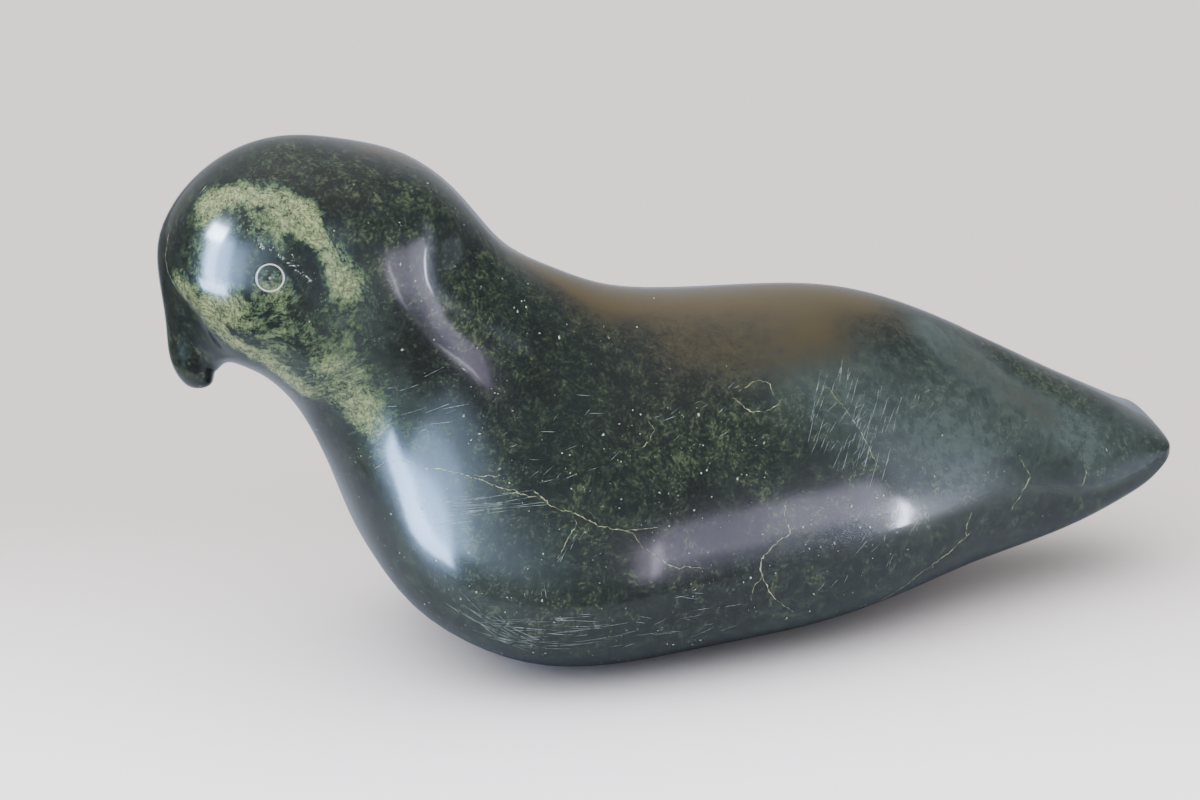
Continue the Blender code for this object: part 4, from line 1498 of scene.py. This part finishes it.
    def build(self) -> None:
        """Fill the room with its walls, its shade below and its panels."""
        add = self.add
        near_end, far_end = self.BACK_WALL_ENDS
        ahead = self.within((
            (self.azimuth, *near_end, 1.0, 0.0),
            (self.azimuth, *far_end, 0.0, 1.0),
        ))
        behind = add("ShaderNodeMath", {0: 1.0, 1: ahead}, operation="SUBTRACT")
        high = self.within(((self.elevation, *self.CEILING_FROM, 0.0, 1.0),))
        walls = self.lit(self.WALL, ((high, self.CEILING), (behind, self.BACK_WALL)))
        above = self.within(((self.elevation, *self.BELOW_TO, 0.0, 1.0),))
        room = add("ShaderNodeMix", {0: above, 4: self.BELOW, 5: walls}, data_type="VECTOR").outputs[1]
        panels = tuple((self.panel_share(panel), panel.radiance) for panel in self.PANELS)
        mirrored = add("ShaderNodeBackground", {"Color": self.lit(room, panels)})

        side = add("ShaderNodeVectorMath", {
            0: self.direction, 1: Vector(self.LEAN).normalized()}, operation="DOT_PRODUCT").outputs["Value"]
        overhead = self.within(((side, *self.OVERHEAD_FROM, 0.0, 1.0),))
        dome = self.nodes["Background"]
        feed(dome, {"Color": self.lit(self.DOME, ((overhead, self.TOP),))})

        backdrop = add("ShaderNodeBackground", {"Color": linear(self.BACKDROP)})
        rays = add("ShaderNodeLightPath").outputs
        shown = add("ShaderNodeMixShader", {0: rays["Is Glossy Ray"], 1: dome, 2: mirrored})
        shown = add("ShaderNodeMixShader", {0: rays["Is Camera Ray"], 1: shown, 2: backdrop})
        feed(self.nodes["World Output"], {"Surface": shown})


class Studio:
    """A plain pale floor in the soft room, and the camera."""

    FLOOR_RADIUS = 14.0
    FLOOR_STEPS = 72
    # Painted light falloff: the floor is painted brighter at the front and greyer at the back, standing for
    # light that falls off away from the front.
    FLOOR_PAINTED_LIGHT = "f0eef3"
    FLOOR_PAINTED_DIM = "b2aca8"
    # Painted reflection: the floor's colours as the stone mirrors it, a deep grey and, far out past the
    # head, near black.
    FLOOR_PAINTED_REFLECTION = "646a74"
    DARK_FLOOR_PAINTED_REFLECTION = "1e2124"
    FLOOR_ROUGHNESS = 0.75
    FRONT = (-0.309, -0.951)  # the direction of the floor's front
    MIRRORED_TO = 0.127  # m, how far to the front the stone mirrors the floor
    PAINTED_FALLOFF = (-0.13, 0.10)  # m, between which the painted light falls off and the floor is painted greyer towards the back
    PAINTED_REFLECTION_FADE = (-0.27, -0.18)  # m along X, between which the floor's painted reflection turns from near black to deep grey
    CAMERA_PLACE = (-0.2460, -0.67028, 0.32558)
    CAMERA_AZIMUTH = -18.0
    CAMERA_ELEVATION = 20.0
    LENS = 80.0
    SENSOR = 36.0
    CLIP = (0.01, 100.0)

    def paint(self) -> bpy.types.Material:
        """Return the floor's matt white paint with painted light: brighter at the front and greyer towards
        the back, and a painted deep grey where the stone mirrors it.
        """
        material, add, shader, place = new_material("matt_white_paint_with_painted_light")
        back = add("ShaderNodeVectorMath", {
            0: place, 1: (-self.FRONT[0], -self.FRONT[1], 0.0)}, operation="DOT_PRODUCT").outputs["Value"]
        share = add("ShaderNodeMapRange", {
            0: back, 1: self.PAINTED_FALLOFF[0], 2: self.PAINTED_FALLOFF[1]}, interpolation_type="SMOOTHSTEP")
        colour = add("ShaderNodeMix", {
            0: share, 6: linear(self.FLOOR_PAINTED_LIGHT), 7: linear(self.FLOOR_PAINTED_DIM)}, data_type="RGBA").outputs[2]
        # Painted reflection: to the rays that the stone mirrors, the floor is painted a deep grey instead of
        # its white, and near black further out towards -X.
        mirrored = add("ShaderNodeLightPath").outputs["Is Glossy Ray"]
        along = add("ShaderNodeSeparateXYZ", {0: place})
        near = add("ShaderNodeMapRange", {
            0: along, 1: self.PAINTED_REFLECTION_FADE[0], 2: self.PAINTED_REFLECTION_FADE[1]}, interpolation_type="SMOOTHSTEP")
        painted_reflection = add("ShaderNodeMix", {
            0: near, 6: linear(self.DARK_FLOOR_PAINTED_REFLECTION), 7: linear(self.FLOOR_PAINTED_REFLECTION)},
            data_type="RGBA").outputs[2]
        seen = add("ShaderNodeMix", {0: mirrored, 6: colour, 7: painted_reflection}, data_type="RGBA")
        feed(shader, {"Base Color": seen.outputs[2], "Roughness": self.FLOOR_ROUGHNESS})
        return material

    def floor(self) -> None:
        """Lay the pale floor in two parts: the polished stone mirrors only the part that it stands on."""
        material = self.paint()
        towards = math.atan2(self.FRONT[1], self.FRONT[0])
        reach = math.acos(self.MIRRORED_TO / self.FLOOR_RADIUS)
        parts = (("floor", reach, math.tau - reach, True), ("floor_in_front", -reach, reach, False))
        steps = range(self.FLOOR_STEPS + 1)
        for name, start, end, mirrored in parts:
            turns = [towards + start + (end - start) * step / self.FLOOR_STEPS for step in steps]
            rim = [(self.FLOOR_RADIUS * math.cos(a), self.FLOOR_RADIUS * math.sin(a), 0.0) for a in turns]
            mesh = bpy.data.meshes.new(name)
            mesh.from_pydata(rim, [], [tuple(steps)])
            mesh.materials.append(material)
            floor = link(bpy.data.objects.new(name, mesh))
            floor.visible_glossy = mirrored

    def camera(self) -> None:
        """Set the camera up a little above the bird and to its head's side."""
        data = bpy.data.cameras.new("camera")
        data.lens, data.sensor_width = self.LENS, self.SENSOR
        data.clip_start, data.clip_end = self.CLIP
        azimuth, elevation = math.radians(self.CAMERA_AZIMUTH), math.radians(self.CAMERA_ELEVATION)
        level = math.cos(elevation)
        back = Vector((math.sin(azimuth) * level, -math.cos(azimuth) * level, math.sin(elevation)))
        camera = link(bpy.data.objects.new("camera", data))
        camera.location = self.CAMERA_PLACE
        camera.rotation_euler = (-back).to_track_quat("-Z", "Y").to_euler()
        bpy.context.scene.camera = camera

    def build(self) -> None:
        """Set the whole studio up."""
        self.floor()
        Room().build()
        self.camera()


def main() -> None:
    """Build the bird, its markings and the studio, and say what each piece rides on."""
    logging.basicConfig(level=logging.INFO, format="%(name)s %(message)s")
    bird = CarvedBird(StoneForm(STATIONS), Eye()).build()
    bird.data.materials.append(PolishedSerpentine().material())
    markings = StoneMarkings(bird)
    pieces = [bird, markings.veins(), markings.scratches(), markings.flecks()]
    for piece in pieces:
        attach(piece, BODY)
        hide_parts(NODE)
    Studio().build()


if __name__ == "__main__":
    main()
